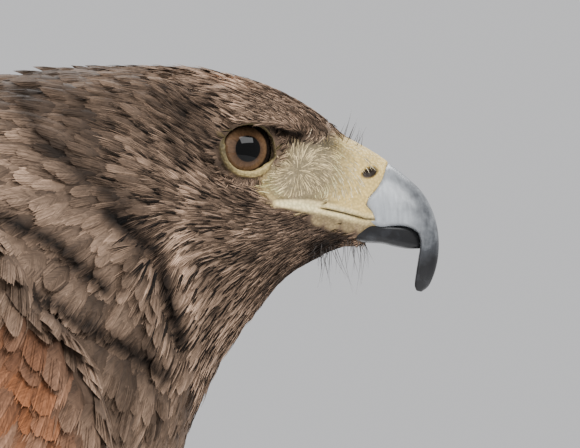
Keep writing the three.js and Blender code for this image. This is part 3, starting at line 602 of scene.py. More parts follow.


# Markings and painted light and shade, the same on skin and coat
# dusk is painted shade for the mouth's slit and the nostril's hole; the other tones are the bird's own
# colours
tones = {name: np.array(tone) for name, tone in {
    "umber": (0.240, 0.160, 0.110), "chestnut": (0.24, 0.085, 0.032), "white": (0.74, 0.70, 0.63),
    "bare": (0.71, 0.51, 0.175), "lore": (0.24, 0.187, 0.10), "flange": (0.95, 0.77, 0.40),
    "jaw": (0.32, 0.23, 0.11), "lid": (0.46, 0.35, 0.15), "dusk": (0.022, 0.017, 0.014),
}.items()}
bareSpots = [  # ahead, above, reach
    (6.5, -7.5, 4.2), (12, -5, 6.3), (12.3, -10.2, 2.9), (18, -4.8, 7.6), (25, -7, 11),
]
jawSpots = [(14.5, -15.2, 1.5), (17.5, -15.7, 1.9), (21, -16.2, 1.9), (24.3, -17, 1.8)]
shadeSpots = [  # darker and brighter patches, partly the plumage's own tone and partly painted light and shade, such as painted shade under the bill and chin and painted light on the crown and collar fringe: ahead, above, reach, how bright
    (-12, 9, 5, 0.5), (-16, 6, 4, 0.55), (-30, 9, 8, 0.9), (-34, 0, 7, 0.8), (-3, -11, 5, 0.7),
    (2, -19, 9, 0.75), (8, -25, 8, 0.75), (-40, 12, 9, 0.62), (-6, -26, 8, 0.85), (-22, -48, 9, 0.8),
    (-46, -52, 9, 1.3),
    (17, -21.5, 4, 0.3), (-24, 2, 5, 0.88), (-32, 1, 5, 0.6), (-20, -8, 5, 0.95), (5, 8.5, 4, 0.8),
    (-15.5, -20, 4, 1.5), (-14, -30, 4, 1.35), (-12, -42, 6, 1.45), (-45, -5, 12, 1.5),
    (-30, -24, 8, 1.25), (-18, -1, 6, 1.3), (-6, -5, 2.5, 0.5), (-9, 2, 3.5, 0.6), (-2, 12, 8, 1.4),
    (-11.5, -0.5, 4, 0.62), (1, 7, 3.5, 0.85), (9, -19, 4.5, 0.68), (-46, -25, 9, 1.35), (-14, 12, 6, 1.2),
]


def softSpot(places, ahead, above, reach, edge=0.35):
    away = np.hypot(places[:, 0] - ahead, places[:, 2] - above)
    return 1 - ease(reach * (1 - edge), reach * (1 + edge), away)


def bareMask(places):  # bare or nearly bare skin of lores, gape and lids
    level = mouthLevel(places)
    spots = np.max([softSpot(places, *spot, 0.22) for spot in bareSpots], axis=0)
    tall = mix(0.5, 1.3, ease(5, 12, places[:, 0]))
    flange = (1 - ease(tall, tall + 0.7, np.abs(level))) * ease(4.3, 5.3, places[:, 0])
    jaw = np.max([softSpot(places, *spot, 0.3) for spot in jawSpots], axis=0)
    return np.maximum(np.maximum(spots * ease(-0.3, 0.8, level), flange), jaw)


def lidMask(places):
    mask = np.zeros(len(places))
    for _, own, depth, off, turn in eyeViews(places):
        edge = lidOpening(turn) + lidWidth(turn)
        mask = np.maximum(mask, (own & (depth > 0)) * (1 - ease(edge - 0.15, edge + 0.2, off)))
    return mask * (1 - ease(0.05, 0.35, overBrow(places)))


def browShade(places):  # painted shadow under the ledge of the brow, in front of the eye
    over = overBrow(places)
    ends = ease(4, 7, places[:, 0]) * (1 - ease(9, 13.5, places[:, 0]))
    return ends * (1 - ease(0, 0.3, over)) * ease(-4.2, -0.8, over)


thighCone = {  # middle line and half sizes from the top to the hem, and heights where masks begin and end
    "top": -104, "tall": 115, "ahead": (-84, -108), "side": (22, 31), "wide": (33, 10), "deep": (21, 9.5),
    "upper": (-128, -148), "lower": (-152, -162), "tuck": (-165, -178), "outward": (-168, -180),
}


def thighSizes(places):  # half sizes from front to back and across, and how far down
    share = np.clip((thighCone["top"] - places[:, 2]) / thighCone["tall"], 0, 1)
    return mix(*thighCone["wide"], share), mix(*thighCone["deep"], share), share


def fromThigh(places):  # ahead of and beside the thigh's middle line, in its own half sizes
    wide, deep, share = thighSizes(places)
    ahead = (places[:, 0] - mix(*thighCone["ahead"], share)) / wide
    return ahead, (np.abs(places[:, 1]) - mix(*thighCone["side"], share)) / deep


def thighMask(places):
    away = np.hypot(*fromThigh(places))
    inside = (1 - ease(1.05, 1.35, away)) * ease(*thighCone["upper"], places[:, 2])
    return np.maximum(inside, ease(*thighCone["lower"], places[:, 2]))


def treeOf(spots):
    tree = KDTree(len(spots))
    for i, spot in enumerate(spots):
        tree.insert(spot, i)
    tree.balance()
    return tree


def onLeft(place):  # a place, or its mirror image on the left side
    return Vector((place[0], abs(place[1]), place[2]))


def armPlaces(places):  # nearness to the folded arm, and where on the wing the nearest place is
    steps, spots = [], []
    for share, up in armSteps:
        reach = mix(wingArm["start"], wingArm["end"], share)
        height = armCrest(reach) * max(0.15, 1 - (2 * up - 1) ** 2) ** 0.3
        steps.append((reach, up))
        spots.append(sheetPoint(reach, up) + sheetWays(reach, up)[2] * height)
    tree = treeOf(spots)
    found = [tree.find(onLeft(p)) for p in places]
    return np.array([f[2] for f in found]), np.array([steps[f[1]] for f in found])


def underWing(places):  # skin that the folded wing hides
    steps = [(a / 40, u / 20) for a in range(2, 41) for u in range(3, 18)]
    tree = treeOf([sheetPoint(*step) for step in steps])
    hidden = np.zeros(len(places))
    for i, p in enumerate(places):
        spot, found, away = tree.find(onLeft(p))
        if away < 22:
            normal = sheetWays(*steps[found])[2]
            gone = onLeft(p) - spot
            inward = gone.dot(normal)
            hidden[i] = (gone - normal * inward).length < 4.5 and -20 < inward < 2
    return hidden


lidTones = [  # degrees round the eye from its front corner, how bright; the dark values above and in front are painted shade under the brow and in the front corner
    (-180, 0.22), (-155, 0.32), (-130, 0.36), (-105, 0.8), (-60, 1.1), (-38, 0.9), (-18, 0.15), (20, 0.06),
    (105, 0.1), (140, 0.2), (180, 0.22),
]


def lidTone(places):  # pale below and behind the eye; dark above and in front, as painted shade under the brow and in the eye's front corner
    tone = np.ones(len(places))
    for _, own, _, off, turn in eyeViews(places):
        inner = hump(off - lidOpening(turn) - 0.15, 0.25) * 0.25
        inner = inner * ease(-160, -140, np.degrees(turn))
        tone = np.where(own, tableAt(lidTones, np.degrees(turn)) + inner, tone)
    return tone


def mottle(places, size, seed):
    return np.array([noise.noise(Vector(p) / size + Vector((seed, 0, 0))) for p in places])


def lieGuided(places):  # degrees down from straight back, blended from the guides round a place
    spread = 3.0
    weight = 1 / (np.hypot(places[:, 0, None] - [g[0] for g in lieGuides],
                           places[:, 2, None] - [g[1] for g in lieGuides]) ** 2 + spread ** 2) ** 1.6
    turns = np.radians([g[2] for g in lieGuides])
    return np.arctan2(weight @ np.sin(turns), weight @ np.cos(turns))


def whorlWays(places):  # out from the middle of the whorl in a spiral, and how far it holds
    ahead, above = places[:, 0] - whorl["at"][0], places[:, 2] - whorl["at"][1]
    away = np.hypot(ahead, above)
    share = 1 - ease(whorl["reach"] * 0.75, whorl["reach"] * 1.35, away)
    share = np.maximum(share, ease(15, 18, places[:, 0]) * (mouthLevel(places) > 0))
    swirl = -whorl["swirl"] * ease(1.5, 9, away)
    swept = np.stack([ahead * np.cos(swirl) - above * np.sin(swirl), 0 * away,
                      ahead * np.sin(swirl) + above * np.cos(swirl)], axis=1)
    return swept / np.maximum(away, 0.1)[:, None], share[:, None]


def lieWays(places, normals, arm, armSpots, thigh):
    down = mix(lieGuided(places), math.radians(82), thigh)
    down = mix(down, np.radians(mix(62, 24, ease(0.05, 0.3, armSpots[:, 0]))), arm)
    down = down + 0.22 * mottle(places, 7, 3) * ease(20, 40, billDistance(places))
    ways = np.stack([-np.cos(down), np.zeros(len(places)), -np.sin(down)], axis=1)
    ways = mix(ways, *whorlWays(places))
    for side, own, depth, off, turn in eyeViews(places):
        middle, look, _ = gazeAxes(side)
        around = (own & (depth > 0)) * (1 - ease(7.4, 9.5, off)) * (1 - ease(0.3, 0.8, np.sin(turn)))
        outward = (places - middle - depth[:, None] * look) / np.maximum(off, 0.1)[:, None]
        ways = mix(ways, outward, (around * 0.75)[:, None])
    return unit(ways - normals * np.sum(ways * normals, axis=1)[:, None])


def unwrapOf(places):  # along the spine, and round it from the belly
    spine = np.array([(-196, -99), (-140, -85), (-95, -70), (-50, -30), (-20, -9), (22, -8)])
    flat = places[:, [0, 2]]
    best, run = np.full(len(places), 1e9), 0
    rise, length = np.zeros(len(places)), np.zeros(len(places))
    for a, b in zip(spine[:-1], spine[1:]):
        size = np.linalg.norm(b - a)
        share = np.clip((flat - a) @ (b - a) / size ** 2, 0, 1)
        gone = flat - (a + share[:, None] * (b - a))
        away = np.linalg.norm(gone, axis=1)
        up = gone @ np.array((a[1] - b[1], b[0] - a[0])) / size
        rise, length = np.where(away < best, up, rise), np.where(away < best, run + share * size, length)
        best, run = np.minimum(best, away), run + size
    turn = np.arctan2(places[:, 1], rise)
    return np.stack([0.5 + turn / (2 * math.pi) * 0.98, 0.01 + length / run * 0.98], axis=1)


def store(mesh, name, kind, values):
    field = {"FLOAT": "value", "FLOAT_VECTOR": "vector", "FLOAT_COLOR": "color"}[kind]
    rows = np.ascontiguousarray(values, dtype=np.float32)
    mesh.attributes.new(name, kind, "POINT").data.foreach_set(field, rows.ravel())


def calmNormals(mesh, places, normals):  # evened out where the plumes are larger than the folds
    ends = np.zeros(len(mesh.edges) * 2, dtype=np.int32)
    mesh.edges.foreach_get("vertices", ends)
    a, b = ends.reshape(-1, 2).T
    count = len(places)
    joins = np.maximum(np.bincount(ends, minlength=count), 1)
    share = ease(40, 60, billDistance(places))[:, None] * 0.9
    for _ in range(12):
        beside = [np.bincount(a, n[b], count) + np.bincount(b, n[a], count) for n in normals.T]
        normals = unit(mix(normals, np.stack(beside, axis=1) / joins[:, None], share))
    ahead, side = fromThigh(places)
    outward = np.stack([ahead, side * np.sign(places[:, 1]), 0 * side], axis=1)
    return mix(normals, unit(outward, 0.01), ease(*thighCone["outward"], places[:, 2])[:, None])


# how much the bands of painted shade and light darken or brighten each place
def strokeShade(places):
    shade = np.ones(len(places))
    for line, wide, bright in shadeAndLightBands:
        share = nearLine(places, line, wide) * (np.abs(places[:, 1]) > 5)
        shade = shade * mix(1, bright, share)
    return shade


def drawStrokes(mesh, share):  # paints the bands of shade and light into the colour of skin or coat
    spots = np.zeros(len(mesh.vertices) * 3, dtype=np.float32)
    mesh.vertices.foreach_get("co", spots)
    plume = mesh.attributes["plume"].data
    colours = np.zeros(len(plume) * 4, dtype=np.float32)
    plume.foreach_get("color", colours)
    colours = colours.reshape(-1, 4)
    shade = mix(1, strokeShade((spots.reshape(-1, 3) - np.array(home)) / mm), share)
    colours[:, :3] *= shade[:, None]
    plume.foreach_set("color", colours.ravel())


def plumeLengths(places, far, arm, armSpots, thigh):
    long = tableAt(coatLengths, far)
    long = mix(long, mix(18, 12, ease(-150, -215, places[:, 2])), thigh)
    long = mix(long, mix(11, 17, armSpots[:, 0] / 0.5), arm)
    return long * mix(1, 1.35, softSpot(places, -15, -24, 6)) * mix(1, 0.75, softSpot(places, 4, 6, 6))


def plumeTones(places, far, arm, armSpots, thigh):
    shade = np.ones(len(places))
    for ahead, above, reach, bright in shadeSpots:
        shade = shade * mix(1, bright, softSpot(places, ahead, above, reach, 0.7))
    # random mottling, partly the plumage's own uneven tone and partly painted shade between clumps of
    # feathers
    shade = shade * (1 + 0.6 * mottle(places, 5, 1) + 0.7 * mottle(places, 1.5, 2)).clip(0.2)
    # painted light and shade: brighter on the face, darker down the neck and body
    shade = shade * (mix(1.3, 0.75, ease(26, 50, far)) * mix(1, 0.92, ease(70, 120, far)))
    rump = ease(-178, -190, places[:, 0])
    paint = mix(tones["umber"] * shade[:, None], tones["white"], (rump * 0.9)[:, None])
    red = tones["chestnut"] * (1 + 0.3 * mottle(places, 5, 4))[:, None]
    shoulder = arm * ease(0.02, 0.08, armSpots[:, 0])
    shoulder = shoulder * (1 - ease(0.3, 0.4, armSpots[:, 0])) * (1 - ease(0.7, 0.84, armSpots[:, 1]))
    paint = mix(paint, red, (shoulder * 0.9)[:, None])
    return mix(paint, red * 1.1, (thigh * 0.95)[:, None])


def flangeShare(places):  # the pale rims of the gape
    ahead = places[:, 0]
    tall = mix(0.75, 1.3, ease(5, 13, ahead))
    share = np.exp(-((mouthLevel(places) / tall) ** 4)) * ease(4.5, 6, ahead)
    return share * (1 - 0.5 * ease(20, 24, ahead))


def bareTones(places):
    ahead, level, flange = places[:, 0], mouthLevel(places), flangeShare(places)
    paint = mix(tones["bare"], tones["lore"], softSpot(places, 11, -4, 9, 0.4)[:, None])
    below = 1 - ease(-0.9, -0.3, level)
    paint = mix(paint, tones["jaw"], (below * (1 - flange))[:, None])
    paint = mix(paint, tones["flange"], flange[:, None])
    # painted shade along the crease above the gape's upper rim and under the brow's ledge
    crease = hump(level - mix(1.0, 1.9, ease(5, 16, ahead)), 0.35) * ease(5, 7, ahead)
    crease = 1 - 0.45 * crease * (1 - ease(15, 20, ahead))
    paint = paint * (mix(1, 0.1, browShade(places)) * crease)[:, None]
    for line, wide, bright in loreStrokes:
        paint = paint * mix(1, bright, nearLine(places, line, wide))[:, None]
    # painted shade: the slit between the lips and the nostril's hole are painted near black
    slit = hump(level, 0.26) * ease(13.5, 16.5, ahead)
    paint = mix(paint, tones["dusk"], (slit * 0.92)[:, None])
    return mix(paint, tones["dusk"] * 2, (1 - ease(0.7, 1.02, nostrilReach(places)))[:, None])


def unwrapSkin(mesh, places):
    layer = mesh.uv_layers.new(name="Unwrap")
    corners = np.zeros(len(mesh.loops), dtype=np.int32)
    mesh.loops.foreach_get("vertex_index", corners)
    uv = unwrapOf(places)[corners]
    starts = np.array([p.loop_start for p in mesh.polygons])
    widest, narrowest = (f.reduceat(uv[:, 0], starts) for f in (np.maximum, np.minimum))
    torn = np.repeat(widest - narrowest > 0.5, np.diff(np.append(starts, len(corners))))
    uv[torn & (uv[:, 0] < 0.5), 0] = 0.995  # faces across the belly seam
    layer.data.foreach_set("uv", uv.astype(np.float32).ravel())


def dressSkin(skin):  # what the coat and the materials read: lie, length, cover, and markings with painted light and shade
    form = formOf(skin)
    places, normals = placesOf(form), normalsOf(form)
    form.free()
    mesh = skin.data
    far, level = billDistance(places), mouthLevel(places)
    near, armSpots = armPlaces(places)
    arm = (1 - ease(2.5, 5.5, near)) * ease(-20, -32, places[:, 0]) * (np.abs(places[:, 1]) > 14)
    thigh = thighMask(places) * (1 - arm)
    bare, lid = bareMask(places), lidMask(places)
    naked = np.maximum(bare, lid)
    store(mesh, "long", "FLOAT", plumeLengths(places, far, arm, armSpots, thigh) * mm)
    fluff = 0.10 + 0.16 * softSpot(places, -15, -26, 7) + 0.10 * ease(0.1, 0.6, mottle(places, 9, 8))
    store(mesh, "lift", "FLOAT", fluff * ease(10, 40, far) + 0.05)
    normals = calmNormals(mesh, places, normals)
    store(mesh, "ground", "FLOAT_VECTOR", normals)
    store(mesh, "lie", "FLOAT_VECTOR", lieWays(places, normals, arm, armSpots, thigh))
    paint = mix(plumeTones(places, far, arm, armSpots, thigh), bareTones(places), bare[:, None])
    paint = mix(paint, tones["lid"] * lidTone(places)[:, None], lid[:, None])
    store(mesh, "satin", "FLOAT", flangeShare(places))
    store(mesh, "plume", "FLOAT_COLOR", np.hstack([np.clip(paint, 0.004, 0.9), np.ones((len(places), 1))]))
    store(mesh, "bare", "FLOAT", naked)

    beside = 0.45 * softSpot(places, 20, -5.5, 6.5, 0.3) * (nostrilReach(places) > 1.3)
    lore = np.maximum(softSpot(places, 12, -4.5, 8.5, 0.25), beside) * ease(1.5, 3, level) * bare
    trunk = (1 - arm) ** 2 * (1 - thigh) * (1 - underWing(places)) * ease(-168, -160, places[:, 2])
    outer = normals[:, 1] * np.sign(places[:, 1]) > -0.25
    begun = {name: ease(*bounds, far) for name, bounds in coatBounds.items()}
    covers = {
        "lore": lore * (1 - lid) * (1 - browShade(places)) * (1 - ease(24, 27, places[:, 0])),
        "face": (1 - naked) * (1 - begun["head"]),
        "head": (1 - naked) * begun["head"] * (1 - begun["headEnd"]) * (1 - arm),
        "neck": begun["neck"] * (1 - begun["neckEnd"]) * (1 - arm),
        "body": begun["body"] * trunk,
        "thigh": thigh * (normals[:, 2] > -0.5),
        "shoulder": arm * outer * (1 - ease(0.26, 0.34, armSpots[:, 0])),
    }
    right = places[:, 1] < 0
    for name, cover in covers.items():
        store(mesh, name + "_right", "FLOAT", cover * right)
        store(mesh, name + "_left", "FLOAT", cover * ~right)
    unwrapSkin(mesh, places)


# Nodes of materials and coats
def newMaterial(name, roughness, **settings):
    material = bpy.data.materials.new(name)
    material.use_nodes = True
    shader = material.node_tree.nodes["Principled BSDF"]
    shader.inputs["Roughness"].default_value = roughness
    for key, value in settings.items():
        shader.inputs[key].default_value = value
    return material, shader


def addNode(tree, kind, inputs=(), **settings):
    made = tree.nodes.new(kind)
    for key, value in settings.items():
        setattr(made, key, value)
    for key, value in dict(inputs).items():
        if isinstance(value, bpy.types.NodeSocket):
            tree.links.new(value, made.inputs[key])
        else:
            made.inputs[key].default_value = value
    return made


def field(tree, name, kind="Fac"):
    return addNode(tree, "ShaderNodeAttribute", attribute_name=name).outputs[kind]


def objectPlaces(tree):
    return addNode(tree, "ShaderNodeTexCoord").outputs["Object"]


def remap(tree, value, fromLow, fromHigh, toLow, toHigh):
    return addNode(tree, "ShaderNodeMapRange", {"Value": value, "From Min": fromLow, "From Max": fromHigh,
                                                "To Min": toLow, "To Max": toHigh}).outputs["Result"]


def calc(tree, operation, a, b=0.0):
    return addNode(tree, "ShaderNodeMath", {0: a, 1: b}, operation=operation).outputs[0]


def times(tree, a, b):
    return calc(tree, "MULTIPLY", a, b)


def plus(tree, a, b):
    return calc(tree, "ADD", a, b)


def minus(tree, a, b):
    return calc(tree, "SUBTRACT", a, b)


def vectorCalc(tree, operation, a, b):
    return addNode(tree, "ShaderNodeVectorMath", {0: a, 1: b}, operation=operation).outputs[0]


def scaled(tree, vector, share):
    return addNode(tree, "ShaderNodeVectorMath", {0: vector, "Scale": share}, operation="SCALE").outputs[0]


def tintShader(tree, shader, colour, share):
    tree.links.new(scaled(tree, colour, share), shader.inputs["Base Color"])


def triple(tree, x, y, z):
    return addNode(tree, "ShaderNodeCombineXYZ", {"X": x, "Y": y, "Z": z}).outputs[0]


def blendColour(tree, factor, a, b):
    return addNode(tree, "ShaderNodeMix", {0: factor, 6: a, 7: b}, data_type="RGBA").outputs[2]


def noiseAt(tree, places, scale, detail=3.0, rough=0.55):
    return addNode(tree, "ShaderNodeTexNoise", {"Vector": places, "Scale": scale, "Detail": detail,
                                                "Roughness": rough}).outputs["Fac"]


def bump(tree, shader, height, strength, distance):
    relief = addNode(tree, "ShaderNodeBump", {
        "Height": height, "Strength": strength, "Distance": distance * mm})
    tree.links.new(relief.outputs["Normal"], shader.inputs["Normal"])
    return relief


def newGroup(name, inputs, outputs):
    group = bpy.data.node_groups.new(name, "ShaderNodeTree")
    for slot, kind, value in inputs:
        socket = group.interface.new_socket(slot, in_out="INPUT", socket_type=f"NodeSocket{kind}")
        socket.default_value = value
    for slot, kind in outputs:
        group.interface.new_socket(slot, in_out="OUTPUT", socket_type=f"NodeSocket{kind}")
    return group, addNode(group, "NodeGroupInput"), addNode(group, "NodeGroupOutput")


# Feathers: each a fan of narrow barb strips, one millimetre long until it is set on the skin
feathers = {
    "bristle": {"strips": 1, "rows": 4, "round": 0.1, "ragged": 0.4, "wide": 0.9, "camber": 0, "curl": 0.2,
                "shades": (0.5, 0.8), "tilt": 0},
    "short": {"strips": 7, "rows": 3, "round": 0.35, "ragged": 0.3, "wide": 0.16, "camber": 0.03,
              "curl": 0.14, "shades": (0, 1), "tilt": 1},
    "hackle": {"strips": 9, "rows": 3, "round": 0.4, "ragged": 0.3, "wide": 0.13, "camber": 0.04,
               "curl": 0.16, "shades": (0, 0.9), "tilt": 1},
    "broad": {"strips": 13, "rows": 2, "round": 0.45, "ragged": 0.2, "wide": 0.1, "camber": 0.05,
              "curl": 0.16, "vane": (4, 5), "shades": (0.4, 0.72), "tilt": 1},
}
broadVane = {"barbStart": 0.45, "barbMore": 0.12, "shade": 0.57}  # barbs fringe its outer part
coats = [
    {"name": "lore", "feather": "bristle", "apart": 0.27, "wide": 0.066, "stray": 0.2},
    {"name": "face", "feather": "short", "apart": 0.43, "wide": 0.26, "stray": 0.14},
    {"name": "head", "feather": "hackle", "apart": 0.56, "wide": 0.26, "stray": 0.16},
    {"name": "neck", "feather": "broad", "apart": 1.3, "wide": 0.44, "stray": 0.15},
    {"name": "body", "feather": "broad", "apart": 3.2, "wide": 0.5, "stray": 0.1},
    {"name": "thigh", "feather": "hackle", "apart": 1.55, "wide": 0.2, "stray": 0.07},
    {"name": "shoulder", "feather": "broad", "apart": 2.3, "wide": 0.62, "stray": 0.08},
]


def featherStrip(form, look, side, low, reach):  # one barb, or a tuft of them
    barb = form.verts.layers.float["barb"]
    shade = random.uniform(*look["shades"])
    tilt = random.uniform(-0.5, 0.5) * look["wide"] * look["tilt"]
    sway = random.uniform(-0.04, 0.04)
    for v in bmesh.ops.create_grid(form, x_segments=1, y_segments=look["rows"], size=0.5)["verts"]:
        across, t = v.co.x * 2, mix(low, 1, v.co.y + 0.5)
        fan = side * 0.5 * (0.35 + 0.65 * math.sin(min(1, t * 1.5) * math.pi / 2)) + sway * t * t
        thin = look["wide"] * 0.5 * max(0.12, 1 - (v.co.y + 0.5) ** 2.2)
        height = look["camber"] * (1 - side * side) - look["curl"] * t * t + across * thin * tilt * 4
        v.co = (fan + across * thin, t * reach, height)
        v[barb] = shade


def makeFeather(name, look):
    form = bmesh.new()
    form.loops.layers.uv.new("Vane")
    barb = form.verts.layers.float.new("barb")
    low, more = (broadVane["barbStart"], broadVane["barbMore"]) if "vane" in look else (0, 0)
    for i in range(look["strips"]):
        side = (i + 0.5) / look["strips"] * 2 - 1
        reach = 1 - look["round"] * side * side - random.uniform(0, look["ragged"])
        featherStrip(form, look, side, low, reach + more)
    if "vane" in look:
        across, rows = look["vane"]
        for v in bmesh.ops.create_grid(form, x_segments=across, y_segments=rows, size=0.5)["verts"]:
            side, t = v.co.x * 2, v.co.y + 0.5
            v.co = (side * 0.5 * min(1, 0.3 + 1.5 * t), t * (1 - look["round"] * side * side),
                    look["camber"] * (1 - side * side) - look["curl"] * t * t)
            v[barb] = broadVane["shade"]
    uv = form.loops.layers.uv["Vane"]
    for face in form.faces:
        for loop in face.loops:
            loop[uv].uv = (loop.vert.co.x + 0.5, loop.vert.co.y)
    mesh = bpy.data.meshes.new(name)
    form.to_mesh(mesh)
    form.free()
    return bpy.data.objects.new(name, mesh)


def featherKinds():
    kinds = {}
    for name, look in feathers.items():
        kinds[name] = bpy.data.collections.new(name)
        for i in range(3):
            kinds[name].objects.link(makeFeather(f"{name}{i}", look))
    return kinds


coatPatch = 0.003  # how much of the bake sheet one plume takes


def coatTree(coat, side, kind):  # the geometry nodes that plant one coat on the skin
    tree = bpy.data.node_groups.new(f"coat_{coat['name']}", "GeometryNodeTree")
    for way in ("INPUT", "OUTPUT"):
        tree.interface.new_socket("Geometry", in_out=way, socket_type="NodeSocketGeometry")

    def named(name, kindOf="FLOAT"):
        read = addNode(tree, "GeometryNodeInputNamedAttribute", {"Name": name}, data_type=kindOf)
        return read.outputs["Attribute"]

    def chance(low, high, seed, kindOf="FLOAT"):
        a, b, drawn = {"FLOAT": (2, 3, 1), "FLOAT_VECTOR": (0, 1, 0), "INT": (4, 5, 2)}[kindOf]
        draw = addNode(tree, "FunctionNodeRandomValue", {a: low, b: high, "Seed": seed}, data_type=kindOf)
        return draw.outputs[drawn]

    def stored(geometry, name, value, kindOf, domain):
        write = addNode(tree, "GeometryNodeStoreNamedAttribute", {
            "Geometry": geometry, "Name": name, "Value": value}, data_type=kindOf, domain=domain)
        return write.outputs[0]

    start, end = addNode(tree, "NodeGroupInput"), addNode(tree, "NodeGroupOutput")
    spread = addNode(tree, "GeometryNodeDistributePointsOnFaces", {
        "Mesh": start.outputs[0], "Distance Min": coat["apart"] * mm, "Density Max": 1e6 / coat["apart"] ** 2,
        "Density Factor": named(f"{coat['name']}_{side}"), "Seed": 5}, distribute_method="POISSON")
    stray, normal = coat["stray"], named("ground", "FLOAT_VECTOR")
    strayed = chance((-stray,) * 3, (stray,) * 3, 1, "FLOAT_VECTOR")
    way = vectorCalc(tree, "ADD", named("lie", "FLOAT_VECTOR"), strayed)
    rise = scaled(tree, normal, times(tree, named("lift"), chance(0.5, 1.6, 2)))
    turn = addNode(tree, "FunctionNodeAxesToRotation", {
        "Primary Axis": vectorCalc(tree, "ADD", way, rise), "Secondary Axis": normal},
        primary_axis="Y", secondary_axis="Z").outputs[0]
    long = times(tree, named("long"), chance(0.8, 1.15, 3))
    wide = times(tree, times(tree, named("long"), coat["wide"]), chance(0.8, 1.25, 4))
    kinds = addNode(tree, "GeometryNodeCollectionInfo", {
        "Collection": kind, "Separate Children": True, "Reset Children": True}).outputs[0]
    planted = addNode(tree, "GeometryNodeInstanceOnPoints", {
        "Points": spread.outputs["Points"], "Instance": kinds, "Pick Instance": True,
        "Instance Index": chance(0, 2, 6, "INT"), "Rotation": turn, "Scale": triple(tree, wide, long, long)})
    faded = stored(planted.outputs[0], "fade", chance(0.0, 1.0, 7), "FLOAT", "INSTANCE")
    real = addNode(tree, "GeometryNodeRealizeInstances", {"Geometry": faded}).outputs[0]
    shift = vectorCalc(tree, "SUBTRACT", named("Vane", "FLOAT_VECTOR"), (0.5, 0.5, 0))
    spot = vectorCalc(tree, "ADD", named("Unwrap", "FLOAT_VECTOR"), scaled(tree, shift, coatPatch))
    tree.links.new(stored(real, "OFBake", spot, "FLOAT2", "CORNER"), end.inputs[0])
    return tree


def makeCoat(skin, coat, side, kinds, material):
    grower = skin.modifiers.new("grow", "NODES")
    grower.node_group = coatTree(coat, side, kinds[coat["feather"]])
    mesh = bpy.data.meshes.new_from_object(skin.evaluated_get(bpy.context.evaluated_depsgraph_get()))
    skin.modifiers.remove(grower)
    for name in ("Unwrap", "lie", "long", "lift", "bare", "satin"):
        if name in mesh.attributes:
            mesh.attributes.remove(mesh.attributes[name])
    name = f"{coat['name']}Coat_{side}"
    mesh.name = name
    mesh.materials.clear()
    mesh.materials.append(material)
    mesh.shade_smooth()
    # painted shade and light bands, at each coat vertex's own place
    if coat["name"] in ("face", "head", "neck"):
        drawStrokes(mesh, 1)
    piece = bpy.data.objects.new(name, mesh)
    bpy.context.scene.collection.objects.link(piece)
    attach(piece, "root")
    report(name, piece)


# Materials
def barbGroup():  # tone of one barb strip: pale and dark strips, dusky roots and worn tips
    group, source, result = newGroup(
        "barbTone",
        [("Plume", "Color", (0.2, 0.14, 0.1, 1)), ("Contrast", "Float", 0.5), ("Along", "Float", 0.5),
         ("Across", "Float", 0.5), ("Spread", "Float", 0.22)],
        [("Color", "Color"), ("Height", "Float")])
    barb = field(group, "barb")
    fade = field(group, "fade")
    lively = calc(group, "POWER", barb, 2.1)
    low = minus(group, 1.0, source.outputs["Contrast"])
    high = plus(group, 1.0, times(group, source.outputs["Contrast"], 1.9))
    bright = plus(group, low, times(group, minus(group, high, low), lively))
    away = minus(group, times(group, fade, 2.0), 1.0)
    worn = plus(group, 1.0, times(group, away, source.outputs["Spread"]))
    tip = remap(group, source.outputs["Along"], 0.15, 0.95, 0.45, 1.15)
    total = times(group, times(group, bright, worn), tip)
    grain = noiseAt(group, objectPlaces(group), 900, 2)
    total = times(group, total, remap(group, grain, 0.3, 0.7, 0.85, 1.15))
    off = calc(group, "ABSOLUTE", minus(group, source.outputs["Across"], 0.5))
    slant = minus(group, times(group, source.outputs["Along"], 22.0), times(group, off, 20.0))
    rows = triple(group, slant, times(group, off, 3.0), times(group, fade, 40.0))
    barbs = addNode(group, "ShaderNodeTexNoise", {"Vector": rows, "Scale": 1.0, "Detail": 3.0}).outputs["Fac"]
    total = times(group, total, remap(group, barbs, 0.3, 0.7, 0.7, 1.3))
    total = times(group, total, remap(group, off, 0.3, 0.48, 1.0, 1.12))
    group.links.new(scaled(group, source.outputs["Plume"], total), result.inputs["Color"])
    group.links.new(grain, result.inputs["Height"])
    return group


palestPlume = (0.85, 0.74, 0.5)  # no plume is paler than this


def vaneSpot(tree):
    return addNode(tree, "ShaderNodeUVMap", uv_map="Vane").outputs[0]


def featherMaterial(name, tint, contrast, roughness, soft, paler=1.0, spread=0.22):
    material, shader = newMaterial(name, roughness, **{"Sheen Weight": 0.02, "Specular IOR Level": 0.1})
    tree = material.node_tree
    vane = addNode(tree, "ShaderNodeSeparateXYZ", {0: vaneSpot(tree)})
    plume = scaled(tree, field(tree, "plume", "Color"), paler)
    tone = addNode(tree, "ShaderNodeGroup", node_tree=tint)
    for slot, value in {"Contrast": contrast, "Spread": spread}.items():
        tone.inputs[slot].default_value = value
    tree.links.new(vectorCalc(tree, "MINIMUM", plume, palestPlume), tone.inputs["Plume"])
    tree.links.new(vane.outputs["X"], tone.inputs["Across"])
    tree.links.new(vane.outputs["Y"], tone.inputs["Along"])
    tree.links.new(tone.outputs["Color"], shader.inputs["Base Color"])
    own = addNode(tree, "ShaderNodeNewGeometry").outputs["Normal"]
    lean = addNode(tree, "ShaderNodeMix", {0: soft, 4: own, 5: field(tree, "ground", "Vector")},
                   data_type="VECTOR").outputs[1]  # shaded in part like the skin below
    relief = bump(tree, shader, tone.outputs["Height"], 0.4, 0.05)
    tree.links.new(lean, relief.inputs["Normal"])
    return material


